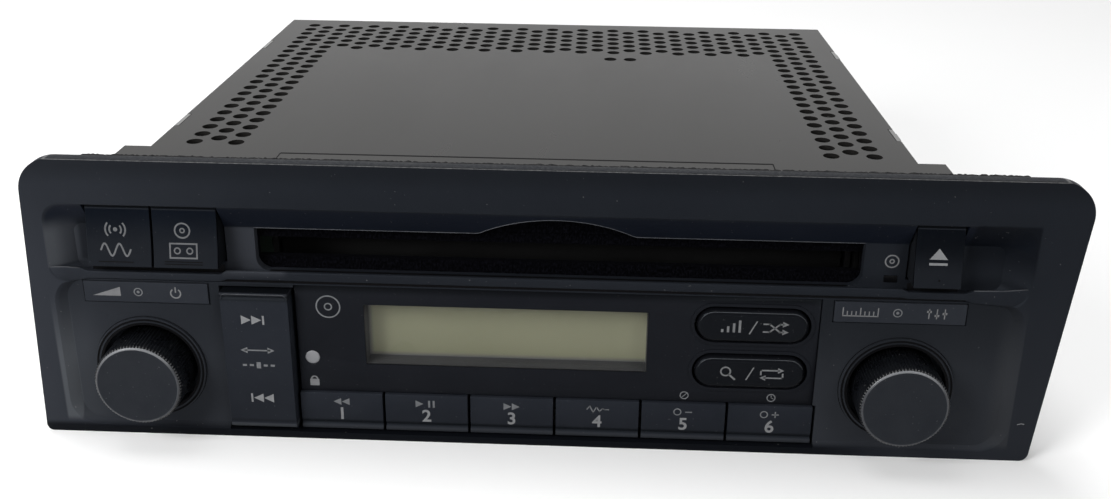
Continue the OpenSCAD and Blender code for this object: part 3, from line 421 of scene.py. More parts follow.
# Panel plastic, with painted shade along its top under the ridge.
finish("panel_plastic", (0.0064, 0.0069, 0.0090), (0.0083, 0.0089, 0.0113), (0.34, 0.44), cloud=50, dust=0.08,
       bands=PANEL_TOP_SHADE, gloss=0.05, Specular_Tint=BLUISH)
finish("label_plastic", (0.018, 0.0202, 0.0255), (0.0225, 0.025, 0.0305), (0.42, 0.52), cloud=90, grain=2800,
       bump=0.08, dust=0.08, **FACE_GLOSS)
finish("lamp_plastic", (0.175, 0.178, 0.19), (0.21, 0.212, 0.222), (0.5, 0.6), cloud=300)
finish("smoked_lamp", (0.002, 0.002, 0.0025), (0.004, 0.004, 0.0045), (0.2, 0.3), cloud=300, bump=0.03,
       gloss=0.06)
finish("white_plastic", (0.62, 0.61, 0.57), (0.7, 0.69, 0.65), (0.4, 0.5), grain=2500)
finish("black_plastic", (0.006, 0.006, 0.0065), (0.010, 0.010, 0.0105), (0.4, 0.55), grain=2500, bump=0.1,
       gloss=0.15)
finish("foam", (0.006, 0.006, 0.007), grey(0.03), (0.9, 1.0), cloud=700, grain=1800, bump=0.9, dust=0.5,
       gloss=0.05)
# Board of a very dark green, darkened partly as painted shade for the inside seen through the slot and vents.
finish("board", (0.0016, 0.006, 0.0032), (0.0028, 0.010, 0.005), (0.35, 0.5), cloud=120, grain=1500,
       gloss=0.1)
finish("rubber", grey(0.008), grey(0.013), (0.65, 0.8), cloud=90, grain=1800, bump=0.15, gloss=0.1)
finish("deck_steel", (0.07, 0.07, 0.073), grey(0.11), (0.45, 0.6), cloud=90, grain=900, bump=0.08,
       Metallic=1.0)
finish("bright_steel", grey(0.52), (0.62, 0.61, 0.6), (0.2, 0.34), cloud=140, grain=1500, bump=0.04,
       Metallic=1.0)
finish("aluminium", (0.5, 0.5, 0.52), (0.6, 0.6, 0.61), (0.34, 0.46), grain=700, bump=0.1,
       stretch=(0.15, 1, 0.15), Metallic=1.0)
# Near black: dark joints and rules, and painted shade in gaps, steps and the slot.
finish("dark_line_and_shade", (0.0015, 0.0015, 0.002), (0.003, 0.003, 0.0035), (0.6, 0.7), cloud=200, gloss=0.05)
# Painted highlights along rounded edges.
finish("painted_highlight", (0.03, 0.033, 0.039), (0.055, 0.058, 0.064), (0.4, 0.5), cloud=500, gloss=0.2)
finish("surround", (0.05, 0.051, 0.053), (0.063, 0.064, 0.066), (0.45, 0.55), cloud=90, grain=2500,
       gloss=0.1)

for part in frame["record"]["subparts"]:
    for material_slot in NODES[part["node"]].material_slots:
        material_slot.material = MATERIALS[part["material_slot"]]


# Mesh helpers
def add_piece(name, vertices, faces, slot, body, material=None, smooth=True):
    """A new piece from points in millimetres. It rides on a body, with a finish from the record's slot."""
    mesh = bpy.data.meshes.new(name)
    mesh.from_pydata([at(*point) for point in vertices], [], faces)
    grid = bmesh.new()
    grid.from_mesh(mesh)
    bmesh.ops.remove_doubles(grid, verts=grid.verts, dist=WELD * MM)
    bmesh.ops.recalc_face_normals(grid, faces=grid.faces)
    grid.to_mesh(mesh)
    grid.free()
    return add_object(name, mesh, slot, body, material, smooth)


def add_object(name, mesh, slot, body, material=None, smooth=True):
    """A piece from a mesh, with the slot's own finish or another."""
    piece = bpy.data.objects.new(name, mesh)
    bpy.context.collection.objects.link(piece)
    mesh.materials.clear()
    mesh.materials.append(MATERIALS[material or slot])
    mesh.polygons.foreach_set("use_smooth", [smooth] * len(mesh.polygons))
    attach(piece, body)
    return piece


def round_edges(piece, width, segments=3, angle=30):
    """Rounds the sharp edges of a piece by a width in millimetres."""
    bevel = piece.modifiers.new("round_edges", "BEVEL")
    bevel.width = width * MM
    bevel.segments = segments
    bevel.limit_method = "ANGLE"
    bevel.angle_limit = math.radians(angle)
    bevel.harden_normals = True
    return piece


def soft_copy(node, slot, width, segments=2, angle=30):
    """Stands for a CAD node of the chassis: its own shape with flat faces joined and sharp edges rounded."""
    flat = math.radians(0.4)
    mesh = NODES[node].data.copy()
    grid = bmesh.new()
    grid.from_mesh(mesh)
    bmesh.ops.remove_doubles(grid, verts=grid.verts, dist=WELD * MM)
    bmesh.ops.dissolve_limit(grid, angle_limit=flat, verts=grid.verts, edges=grid.edges)
    grid.to_mesh(mesh)
    grid.free()
    piece = add_object(node + "_soft", mesh, slot, "chassis")
    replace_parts(piece, node)
    round_edges(piece, width, segments, angle)


def ring_faces(rings, count, closed_front, closed_back):
    """Faces between rings of points, with or without an end at the front and at the back."""
    faces = []
    for ring in range(rings - 1):
        near, far = ring * count, (ring + 1) * count
        for i in range(count):
            j = (i + 1) % count
            faces.append((near + i, near + j, far + j, far + i))
    if closed_front:
        faces.append(tuple(range(count)))
    if closed_back:
        faces.append(tuple(range((rings - 1) * count, rings * count)))
    return faces


def bar(name, outline, left, right, slot, body, edge, material=None):
    """An outline of depth and height, drawn out from left to right and rounded at its edges."""
    vertices = [(x, depth, z) for x in (left, right) for depth, z in outline]
    faces = ring_faces(2, len(outline), True, True)
    return round_edges(add_piece(name, vertices, faces, slot, body, material), edge)


def stadium(x, z, width, height, grow, count=24):
    """Points of a stadium around a middle, grown outwards or drawn in."""
    radius = height / 2 + grow
    reach = (width - height) / 2
    points = []
    for side in (1, -1):
        for i in range(count + 1):
            angle = -math.pi / 2 + math.pi * i / count
            across = reach + radius * math.cos(angle)
            points.append((x + side * across, z + side * radius * math.sin(angle)))
    return points


def turned(x, z, rings, count, ripples=0):
    """Points of rings about an axis along the depth. A ring is a depth, a radius and a height of ripple."""
    vertices = []
    for depth, radius, ripple in rings:
        for i in range(count):
            angle = 2 * math.pi * i / count
            reach = radius + ripple * math.cos(ripples * angle)
            vertices.append((x + reach * math.cos(angle), depth, z + reach * math.sin(angle)))
    return vertices


def tube(name, path, radius, slot, body, material, sides=8):
    """A thin round line along points of x, depth and height."""
    vertices = []
    for x, depth, z in path:
        for i in range(sides):
            angle = 2 * math.pi * i / sides
            vertices.append((x, depth + radius * math.cos(angle), z + radius * math.sin(angle)))
    add_piece(name, vertices, ring_faces(len(path), sides, True, True), slot, body, material)


def arc(x, z, radius, start, end, count=8):
    """Points along an arc between two angles in degrees."""
    angles = [math.radians(start + (end - start) * i / count) for i in range(count + 1)]
    return [(x + radius * math.cos(a), z + radius * math.sin(a)) for a in angles]


def corners(left, right, low, high):
    return [(left, low), (right, low), (right, high), (left, high)]


# Prints: flat shapes in millimetres around their own middle
BROAD_LINE, LINE, THIN_LINE, FINE_LINE = 0.36, 0.34, 0.3, 0.24


def box_shape(x, z, width, height):
    return [corners(x - width / 2, x + width / 2, z - height / 2, z + height / 2)]


def line_shape(points, width):
    """A line of even width through its points."""
    shapes = []
    for (x0, z0), (x1, z1) in zip(points, points[1:]):
        length = math.hypot(x1 - x0, z1 - z0)
        dx, dz = (x1 - x0) / length * width / 2, (z1 - z0) / length * width / 2
        shapes.append([(x0 - dx - dz, z0 - dz + dx), (x0 - dx + dz, z0 - dz - dx),
                       (x1 + dx + dz, z1 + dz - dx), (x1 + dx - dz, z1 + dz + dx)])
    return shapes


def arc_shape(x, z, radius, start, end, width, count=20):
    """A line of even width along an arc."""
    inner = arc(x, z, radius - width / 2, start, end, count)
    outer = arc(x, z, radius + width / 2, start, end, count)
    return [[inner[i], inner[i + 1], outer[i + 1], outer[i]] for i in range(count)]


def ring_shape(radius, width, count=28, x=0, z=0):
    return arc_shape(x, z, radius, 0, 360, width, count)


def dot_shape(radius):
    return [arc(0, 0, radius, 0, 360, 24)[:-1]]


def arrow_shape(x, z, size, way):
    """A triangle that points right (1) or left (-1)."""
    half = size / 2
    return [[(x - way * half, z - half), (x - way * half, z + half), (x + way * half, z)]]


def moved(shapes, across):
    return [[(u + across, v) for u, v in shape] for shape in shapes]


def mirrored(shapes):
    return [[(-u, v) for u, v in shape] for shape in shapes]


def digit_shape(text, size):
    """Outlines of a plain number in Blender's own typeface."""
    curve = bpy.data.curves.new("number", "FONT")
    curve.body = text
    curve.size = size
    curve.offset = 0.02 * size
    curve.align_x = "CENTER"
    curve.align_y = "CENTER"
    writer = bpy.data.objects.new("number", curve)
    bpy.context.collection.objects.link(writer)
    seen = writer.evaluated_get(bpy.context.evaluated_depsgraph_get())
    mesh = bpy.data.meshes.new_from_object(seen)
    shapes = [[tuple(mesh.vertices[v].co.xy) for v in polygon.vertices] for polygon in mesh.polygons]
    bpy.data.objects.remove(writer)
    bpy.data.meshes.remove(mesh)
    return shapes


def print_on(name, shapes, x, z, depth, body, material="print"):
    """Lays flat shapes on a face. The depth is a number, or a function of the height."""
    vertices, faces = [], []
    for shape in shapes:
        faces.append(tuple(range(len(vertices), len(vertices) + len(shape))))
        for u, v in shape:
            level = depth(z + v) if callable(depth) else depth
            vertices.append((x + u, level - PRINT_LIFT, z + v))
    mesh = bpy.data.meshes.new(name)
    mesh.from_pydata([at(*point) for point in vertices], [], faces)
    grid = bmesh.new()
    grid.from_mesh(mesh)
    grid.normal_update()
    bmesh.ops.reverse_faces(grid, faces=[face for face in grid.faces if face.normal.y > 0])
    grid.to_mesh(mesh)
    grid.free()
    add_object(name, mesh, "label_plastic", body, material, smooth=False)


# Bezel and panel
soft_copy("front_bezel", "bezel_plastic", 0.3, segments=3, angle=12)
soft_copy("display_panel", "panel_plastic", 0.15)
PANEL_LEFT, PANEL_RIGHT = span("display_panel")[:2]
PANEL_FACE = 1.6
LABEL_FACE = 1.0


def label_plates():
    """Both plates, a little smaller than their recesses, so that a dark line runs around each."""
    reach_left, reach_right, _front, back, low, high = span("label_plates")
    gap, rocker_gap, panel_gap = 0.18, 0.5, 2.5
    ends = ((reach_left, span("seek_rocker")[0] - rocker_gap), (PANEL_RIGHT + panel_gap, reach_right))
    outline = corners(LABEL_FACE, back, low + gap, high - gap)
    for name, (left, right) in zip(("volume_plate", "tune_plate"), ends):
        piece = bar(name, outline, left + gap, right - gap, "label_plastic", "chassis", 0.12)
        if name == "volume_plate":
            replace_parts(piece, "label_plates")


label_plates()


# Slot, with a finger notch in its upper edge
SLOT_MIDDLE, SLOT_HALF, SLOT_HIGH = 7.6, 63.3, 44.1
CHANNEL_HIGH, CHANNEL_DEPTH = 50.1, 4
NOTCH_HALF, NOTCH_RISE = 16.25, 4.6
NOTCH_RADIUS = (NOTCH_HALF ** 2 + NOTCH_RISE ** 2) / (2 * NOTCH_RISE)


def notch_height(reach):
    """Height of the notch's edge at a distance from its middle."""
    return SLOT_HIGH + NOTCH_RISE - NOTCH_RADIUS + math.sqrt(NOTCH_RADIUS ** 2 - reach ** 2)


def slot_edge():
    """Painted highlight along the top edge of the slot and around its notch."""
    steps, lift = 160, 0.02
    path = []
    for i in range(steps + 1):
        reach = -SLOT_HALF + 2 * SLOT_HALF * i / steps
        z = notch_height(reach) if abs(reach) < NOTCH_HALF else SLOT_HIGH
        depth = CHANNEL_DEPTH * (CHANNEL_HIGH - z) / (CHANNEL_HIGH - SLOT_HIGH)
        path.append((SLOT_MIDDLE + reach, depth + lift, z - lift))
    tube("slot_edge", path, 0.11, "bezel_plastic", "chassis", "painted_highlight")


def ridge_section(low, high, front):
    """Outline of the ridge in depth and height, between two heights of its front."""
    foot = [(front + 0.6, low - 0.6), (front + 0.6, low - 0.05), (front + 0.08, low)]
    face = [(front + 0.02, low + 0.15), (front, high - 0.28)]
    brow = [(front + 0.12, high - 0.06), (front + 0.4, high)]
    return foot + face + brow + [(3.9, 34.18), (3.0, 33.5)]


def slot_ridge():
    """Ridge under the slot, lower under the buttons and flush with the rim at its ends."""
    front = 0.9
    left_end = [(-98.4, 32.1, 35.7, 0.12), (-95.0, 32.2, 35.5, 0.6), (-92.5, 32.5, 35.2, front)]
    right_end = [(93.0, 32.6, 35.4, front), (99.0, 32.3, 35.7, 0.6), (104.3, 32.1, 36.5, 0.12)]
    left_run = [(x, 32.9, 34.55, front) for x in (-90.8, -62.6)]
    middle_run = [(x, 33.42, 35.38, front) for x in (-61.4, 78.6)]
    right_run = [(x, 33.2, 34.75, front) for x in (79.8, 91.5)]
    places = left_end + left_run + middle_run + right_run + right_end
    sections = [ridge_section(*place[1:]) for place in places]
    vertices = [(place[0], depth, z) for place, outline in zip(places, sections) for depth, z in outline]
    faces = ring_faces(len(sections), len(sections[0]), True, True)
    round_edges(add_piece("slot_ridge", vertices, faces, "bezel_plastic", "chassis"), 0.1)
    # Painted highlights along the top edges of the ridge's ends.
    for name, end in (("left", left_end), ("right", right_end)):
        edge = [(x, depth + 0.14, high - 0.06) for x, _low, high, depth in end]
        tube(f"scoop_edge_{name}", edge, 0.12, "bezel_plastic", "chassis", "painted_highlight")


def ridge_steps():
    """Painted shadow on the step below each run of the ridge."""
    depth = 1.5
    runs = (("left", -91.0, -62, 32.4, 32.86), ("middle", -62, 79.2, 32.5, 33.38),
            ("right", 79.2, 91.8, 32.5, 33.16))
    for name, left, right, low, high in runs:
        print_on(f"ridge_shadow_{name}", [corners(left, right, low, high)], 0, 0, depth, "chassis", "dark_line_and_shade")


def slot_groove():
    """Painted shade on the floor of the slot, behind the ridge."""
    height = 34.23
    floor = [(x, depth, height) for x, depth in corners(-53, 68, 3.95, 4.75)]
    add_piece("slot_groove", floor, [(0, 1, 2, 3)], "felt", "chassis", "dark_line_and_shade", False)


def notch_felt():
    """Felt that closes the back of the finger notch."""
    steps, depth = 40, 5.14
    reaches = [-NOTCH_HALF + 2 * NOTCH_HALF * i / steps for i in range(steps + 1)]
    points = [(SLOT_MIDDLE + reach, depth, notch_height(reach)) for reach in reaches]
    add_piece("notch_felt", points, [tuple(range(len(points)))], "felt", "chassis", smooth=False)


slot_edge()
slot_ridge()
ridge_steps()
slot_groove()
notch_felt()


# Seal and cover
def foam_strip():
    """Crumbled foam behind the upper rim."""
    left, right, front, back, low, high = span("foam_seal")
    columns, crumble = 420, 0.13
    section = [(front, low), (front, high - 0.2), (front + 0.5, high - 0.1), (back - 0.6, high - 0.15),
               (back, high - 0.5), (back, low)]
    vertices = []
    for column in range(columns + 1):
        x = left + (right - left) * column / columns
        for i, (depth, z) in enumerate(section):
            loose = 0.0 if i in (0, len(section) - 1) else crumble
            vertices.append((x, depth + CHANCE.uniform(-loose, loose), z + CHANCE.uniform(-loose, loose)))
    faces = ring_faces(columns + 1, len(section), True, True)
    piece = add_piece("foam_strip", vertices, faces, "foam", "chassis", smooth=False)
    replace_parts(piece, "foam_seal")


def tongue_gap():
    """Dark line along the gap around the tongue in the cover."""
    left, right, front, back = -57.6, 55.6, 6.4, 34.0
    side_half, back_half = 0.14, 0.36
    top = span("top_cover")[5] + 0.02
    lines = [corners(x - side_half, x + side_half, front, back) for x in (left, right)]
    lines.append(corners(left, right, back - back_half, back + back_half))
    vertices = [(x, depth, top) for line in lines for x, depth in line]
    faces = [(i, i + 1, i + 2, i + 3) for i in (0, 4, 8)]
    add_piece("tongue_gap", vertices, faces, "cover_steel", "chassis", "dark_line_and_shade", False)


foam_strip()
tongue_gap()


# Buttons beside the slot. The back of every cap has a step, from a shallow to a deep part
SHALLOW_BACK, DEEP_BACK = 4.7, 6.0
UPPER_STEP = 44.9
UPPER_CURVE = [(36.4, -1.0), (40.8, 0.0), (45.0, 0.6), (49.2, 1.0)]


def upper_depth(z):
    """Depth of a button's face at one height, on the smooth curve through its points."""
    total = 0.0
    for height, depth in UPPER_CURVE:
        others = [other for other, _depth in UPPER_CURVE if other != height]
        total += depth * math.prod((z - other) / (height - other) for other in others)
    return total


def upper_button(node, body):
    """Cap of a button beside the slot. Gives the place of its middle."""
    left, right = span(node)[:2]
    steps = 24
    heights = [UPPER_LOW + (UPPER_HIGH - UPPER_LOW) * i / steps for i in range(steps + 1)]
    outline = [(upper_depth(z), z) for z in heights]
    outline += [(SHALLOW_BACK, UPPER_HIGH), (SHALLOW_BACK, UPPER_STEP)]
    outline += [(DEEP_BACK, UPPER_STEP), (DEEP_BACK, UPPER_LOW)]
    piece = bar(body + "_cap", outline, left + 0.1, right - 0.1, "button_plastic", body, 0.2, "slot_button")
    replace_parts(piece, node)
    return (left + right) / 2


def button_gap(name, first, last):
    """Painted shadow in the gap below the buttons from a first to a last node."""
    left, right = span(first)[0], span(last)[1]
    margin, low, high, depth = 0.3, 34.1, 36.3, 2.2
    print_on(name, [corners(left - margin, right + margin, low, high)], 0, 0, depth, "chassis", "dark_line_and_shade")


def underline(name, x, z, width, body):
    print_on(name, box_shape(0, 0, width, 0.22), x, z, upper_depth, body, "dark_line_and_shade")


band_x = upper_button("band_button", "band")
source_x = upper_button("source_button", "source")
eject_x = upper_button("eject_button", "eject")
button_gap("band_shadow", "band_button", "source_button")
button_gap("eject_shadow", "eject_button", "eject_button")

radio_waves = dot_shape(0.45)
for reach in (1.25, 2.1):
    wave = arc_shape(0, 0, reach, -42, 42, BROAD_LINE)
    radio_waves += wave + mirrored(wave)
print_on("band_waves", radio_waves, band_x - 0.6, 44.4, upper_depth, "band", "faint_print")
ripple_points = [(-3.1 + 6.2 * i / 40, 1.25 * math.sin(4 * math.pi * i / 40)) for i in range(41)]
ripple = line_shape(ripple_points, BROAD_LINE)
print_on("band_ripple", ripple, band_x - 0.7, 40.1, upper_depth, "band", "faint_print")
underline("band_rule", band_x - 0.7, 37.6, 7.4, "band")

plain_disc = ring_shape(1.55, LINE, 40) + ring_shape(0.45, THIN_LINE, 24)
print_on("source_disc", plain_disc, source_x - 0.5, 44.5, upper_depth, "source", "faint_print")
reel_case = corners(-2.8, 2.8, -1.5, 1.5)
reels = line_shape(reel_case + reel_case[:1], LINE)
for reel_x in (-1.3, 1.3):
    reels += ring_shape(0.6, THIN_LINE, 20, reel_x)
print_on("source_reels", reels, source_x - 0.4, 40.2, upper_depth, "source", "faint_print")
underline("source_rule", source_x - 0.4, 37.9, 8.0, "source")
underline("source_rule_low", source_x - 0.4, 37.4, 8.0, "source")

eject_sign = [[(-1.85, -0.1), (1.85, -0.1), (0, 2.2)]] + box_shape(0, -1.05, 3.7, 0.5)
print_on("eject_sign", eject_sign, eject_x - 0.1, 42.6, upper_depth, "eject")
# A dark dot as painted shade for a small dimple below the sign.
print_on("eject_dimple", dot_shape(0.22), eject_x + 0.3, 38.2, upper_depth, "eject", "dark_line_and_shade")


# Preset keys, with a roll along the foot
PRESET_FRONT = 1.0
PRESET_LOW, PRESET_HIGH, PRESET_STEP = -2.2, 6.9, 4.0
preset_face = [(1.45, PRESET_HIGH), (1.12, PRESET_HIGH - 0.12), (PRESET_FRONT, PRESET_HIGH - 0.45),
               (PRESET_FRONT, 0.25)]
preset_roll = [(1.12, -0.1), (1.3, -0.5), (1.22, -0.8), (0.98, -1.05), (0.88, -1.4), (0.92, -1.85),
               (1.15, -2.1), (1.6, PRESET_LOW)]
preset_back = [(SHALLOW_BACK, PRESET_LOW), (SHALLOW_BACK, PRESET_STEP), (DEEP_BACK, PRESET_STEP)]
preset_outline = [(DEEP_BACK, PRESET_HIGH)] + preset_face + preset_roll + preset_back

double_right = arrow_shape(-0.9, 0, 1.7, 1) + arrow_shape(0.9, 0, 1.7, 1)
double_left = mirrored(double_right)
play_pause = arrow_shape(-1.5, 0, 1.7, 1) + box_shape(0.6, 0, 0.45, 1.7) + box_shape(1.6, 0, 0.45, 1.7)
hiss_points = [(-2.2, 0), (-1.6, 0.8), (-0.9, -0.8), (-0.2, 0.6), (0.5, -0.5), (1.1, 0.25), (1.6, 0)]
hiss = line_shape(hiss_points + [(2.4, 0)], 0.26)
ring_sign = ring_shape(0.75, 0.26, x=-1.3)
minus = box_shape(1.1, 0, 1.5, 0.28)
plus = minus + box_shape(1.1, 0, 0.28, 1.5)
preset_signs = [double_left, play_pause, double_right, hiss, ring_sign + minus, ring_sign + plus]

for number, sign in enumerate(preset_signs, start=1):
    node = f"preset_button_{number}"
    body = f"preset_{number}"
    left, right = span(node)[:2]
    middle = (left + right) / 2
    piece = bar(body + "_cap", preset_outline, left + 0.1, right - 0.1, "button_plastic", body, 0.12,
                "preset_plastic")
    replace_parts(piece, node)
    print_on(body + "_sign", sign, middle, 4.8, PRESET_FRONT, body, "dim_print")
    print_on(body + "_number", digit_shape(str(number), 4.1), middle, 1.7, PRESET_FRONT, body)


# Seek rocker, with a rolled top and foot
ROCKER_FRONT = -0.8
ROCKER_LOW, ROCKER_HIGH = -1.8, 31.2
ROCKER_STEP, ROCKER_BACK = 4.8, 5.6
ROCKER_WIDTH = 14.8
rocker_back = [(ROCKER_BACK, ROCKER_STEP), (SHALLOW_BACK, ROCKER_STEP), (SHALLOW_BACK, ROCKER_LOW)]
rocker_foot = [(0.5, ROCKER_LOW), (-0.3, -1.3), (-0.72, -0.75), (-0.78, -0.3), (-0.62, 0.2), (-0.62, 0.55)]
rocker_face = [(ROCKER_FRONT, 1.1), (ROCKER_FRONT, 29.4)]
rocker_top = [(-0.72, 29.7), (-0.5, 29.95), (-0.42, 30.2), (-0.62, 30.42), (-0.82, 30.6), (-0.88, 30.82),
              (-0.78, 31.02), (-0.5, 31.16), (0.0, ROCKER_HIGH), (ROCKER_BACK, ROCKER_HIGH)]
rocker_outline = rocker_back + rocker_foot + rocker_face + rocker_top
rocker_right = PANEL_LEFT - 0.8
rocker_left = rocker_right - ROCKER_WIDTH
rocker_x = (rocker_left + rocker_right) / 2
rocker = bar("rocker_cap", rocker_outline, rocker_left + 0.25, rocker_right - 0.2, "button_plastic",
             "seek_rocker", 0.2, "rocker_plastic")
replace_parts(rocker, "seek_rocker")

# Painted highlight along the crest of the rocker's rolled top.
crest_radius, crest_high, crest_depth = 1.0, 30.92, -0.84
crest_z = crest_high - crest_radius
crest = arc(rocker_left + 0.5 + crest_radius, crest_z, crest_radius, 190, 90)
crest += arc(rocker_right - 0.45 - crest_radius, crest_z, crest_radius, 90, -10)
crest_path = [(x, crest_depth, z) for x, z in crest]
tube("rocker_crest", crest_path, 0.1, "button_plastic", "seek_rocker", "painted_highlight")

next_track = arrow_shape(-1.9, 0, 2.1, 1) + arrow_shape(0.3, 0, 2.1, 1) + box_shape(1.75, 0, 0.42, 2.1)
last_track = mirrored(next_track)
both_ways = line_shape([(-2.6, 0), (2.6, 0)], LINE)
both_ways += arrow_shape(-2.9, 0, 1.5, -1) + arrow_shape(2.9, 0, 1.5, 1)
tracks = []
for i in range(5):
    tracks += box_shape(-3.0 + 1.5 * i, 0, 0.9, 1.5 if i == 2 else 0.5)
print_on("rocker_next", next_track, rocker_x, 25.0, ROCKER_FRONT, "seek_rocker")
print_on("rocker_ways", both_ways, rocker_x, 17.8, ROCKER_FRONT, "seek_rocker", "dim_print")
print_on("rocker_tracks", tracks, rocker_x, 14.2, ROCKER_FRONT, "seek_rocker", "dim_print")
print_on("rocker_last", last_track, rocker_x - 0.3, 6.2, ROCKER_FRONT, "seek_rocker")


# Pill buttons
PILL_FRONT, PILL_BACK = 0.4, 5.0
PILL_SIGN_REACH = 4.6
pill_levels = [(PILL_FRONT, -1.35), (PILL_FRONT + 0.02, -1.0), (PILL_FRONT + 0.12, -0.6),
               (PILL_FRONT + 0.4, -0.22), (PILL_FRONT + 0.85, 0.0), (PILL_BACK, 0.0)]


def pill(node, body, first_sign, second_sign):
    """A pill button with a painted highlight along its upper rim and two signs on either side of a slash."""
    left, right, _front, _back, low, high = span(node)
    x, z = (left + right) / 2, (low + high) / 2
    width, height = right - left - 2.0, high - low
    rings = [stadium(x, z, width, height, grow) for _depth, grow in pill_levels]
    vertices = [(px, depth, pz) for (depth, _grow), ring in zip(pill_levels, rings) for px, pz in ring]
    faces = ring_faces(len(rings), len(rings[0]), True, False)
    piece = add_piece(body + "_pill", vertices, faces, "pill_plastic", body)
    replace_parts(piece, node)
    rim = stadium(x, z, width, height, -0.42)
    upper = sorted((px, PILL_FRONT + 0.16, pz) for px, pz in rim if pz > z + 0.12 * height)
    tube(body + "_shine", upper, 0.09, "pill_plastic", body, "painted_highlight")
    slash = line_shape([(-0.7, -1.4), (0.7, 1.4)], 0.28)
    shapes = moved(first_sign, -PILL_SIGN_REACH) + slash + moved(second_sign, PILL_SIGN_REACH)
    print_on(body + "_sign", shapes, x, z, PILL_FRONT, body, "label_print")


def crossing_arrows():
    rise = [(-2.4, -0.9), (-1.2, -0.9), (0.9, 0.9), (1.6, 0.9)]
    fall = [(u, -v) for u, v in rise]
    heads = arrow_shape(2.1, 0.9, 1.3, 1) + arrow_shape(2.1, -0.9, 1.3, 1)
    return line_shape(rise, LINE) + line_shape(fall, LINE) + heads


def loop_arrows():
    upper = [(-2.3, -0.1), (-2.3, 0.9), (1.5, 0.9)]
    lower = [(-u, -v) for u, v in upper]
    heads = arrow_shape(1.9, 0.9, 1.3, 1) + arrow_shape(-1.9, -0.9, 1.3, -1)
    return line_shape(upper, LINE) + line_shape(lower, LINE) + heads


def searching_glass():
    return ring_shape(1.0, LINE, x=-0.5, z=0.4) + line_shape([(0.25, -0.35), (1.4, -1.4)], 0.4)


def stored_bars():
    shapes = []
    for i in range(4):
        tall = 0.7 * (i + 1)
        shapes += box_shape(-1.8 + 1.2 * i, -1.2 + tall / 2, 0.5, tall)
    return shapes


pill("select_button", "select", stored_bars(), crossing_arrows())
pill("scan_button", "scan", searching_glass(), loop_arrows())


# Knobs, with a finely ribbed side
RIBS = 84
RIB = 0.14
KNOB_X, KNOB_Z = 79.8, 12


def knob(node):
    """Side, rim and face of a knob, each with a finish of its own. The body has the node's name."""
    left, right, front, back, low, high = span(node)
    x, z, radius = (left + right) / 2, (low + high) / 2, (right - left) / 2
    count = RIBS * 6
    edge = radius - RIB
    face = [(front + 0.1, 0.02, 0), (front + 0.08, radius - 1.4, 0), (front + 0.02, radius - 0.85, 0)]
    rim = [face[-1], (front, radius - 0.72, 0), (front + 0.1, radius - 0.5, 0),
           (front + 0.24, radius - 0.42, 0)]
    side = [rim[-1], (front + 0.3, edge - 0.2, RIB), (front + 0.7, edge, RIB), (back, edge, RIB),
            (back, radius - 1.6, 0)]
    shells = (("side", side, "knob_side"), ("rim", rim, "knob_rim"), ("face", face, "knob_plastic"))
    for name, rings, shown in shells:
        vertices = turned(x, z, rings, count, RIBS)
        faces = ring_faces(len(rings), count, name == "face", False)
        piece = add_piece(f"{node}_{name}", vertices, faces, "knob_plastic", node, shown)
        if name == "side":
            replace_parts(piece, node)


def collar_ring(name, x):
    """Dark lines around the collar of a knob and inside it: painted shade around the raised collar and in the
    well within it.
    """
    rings = (("outside", 11.92, 0.45, 1.3), ("outer", 11.45, 0.44, 0.7), ("inner", 10.58, 0.56, 0.7))
    for place, radius, width, depth in rings:
        print_on(f"{name}_{place}", ring_shape(radius, width, 72), x, KNOB_Z, depth, "chassis", "dark_line_and_shade")


collar_ring("volume_ring", -KNOB_X)
collar_ring("tune_ring", KNOB_X)
knob("volume_knob")
knob("tune_knob")


# Display
def display():
    """Display glass behind the window, and the lining of its opening."""
    left, right, _front, _back, low, high = span("display_window")
    grow = 1.0
    outline = corners(left - grow, right + grow, low - grow, high + grow)
    glass = [(x, depth, z) for depth in (6.0, 8.2) for x, z in outline]
    faces = ring_faces(2, 4, True, True)
    piece = add_piece("display_glass", glass, faces, "lcd_glass", "chassis", smooth=False)
    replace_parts(round_edges(piece, 0.15), "lcd_module")
    opening = corners(left, right, low, high)
    lining = [(x, depth, z) for depth in (2.0, 5.95) for x, z in opening]
    faces = ring_faces(2, 4, False, False)
    add_piece("display_surround", lining, faces, "panel_plastic", "chassis", "surround", False)


display()
panel_disc = ring_shape(2.5, THIN_LINE, 48) + ring_shape(0.75, THIN_LINE)
print_on("panel_disc", panel_disc, PANEL_LEFT + 6.9, 27.4, PANEL_FACE, "chassis", "dim_print")
lock = box_shape(0, -0.5, 2.0, 1.6) + arc_shape(0, 0.3, 0.65, 0, 180, 0.32)
print_on("panel_lock", lock, PANEL_LEFT + 3.0, 9.6, PANEL_FACE, "chassis", "label_print")
small_ring = ring_shape(0.85, FINE_LINE)
clock = small_ring + line_shape([(0, 0.5), (0, 0), (0.4, -0.2)], 0.2)
dial = small_ring + line_shape([(-0.45, -0.45), (0.45, 0.45)], 0.2)
for name, shapes, number in (("panel_dial", dial, 5), ("panel_clock", clock, 6)):
    left, right = span(f"preset_button_{number}")[:2]
    print_on(name, shapes, (left + right) / 2, 8.6, PANEL_FACE, "chassis", "dim_print")


# Lamps
LAMP_BACK = 5.9


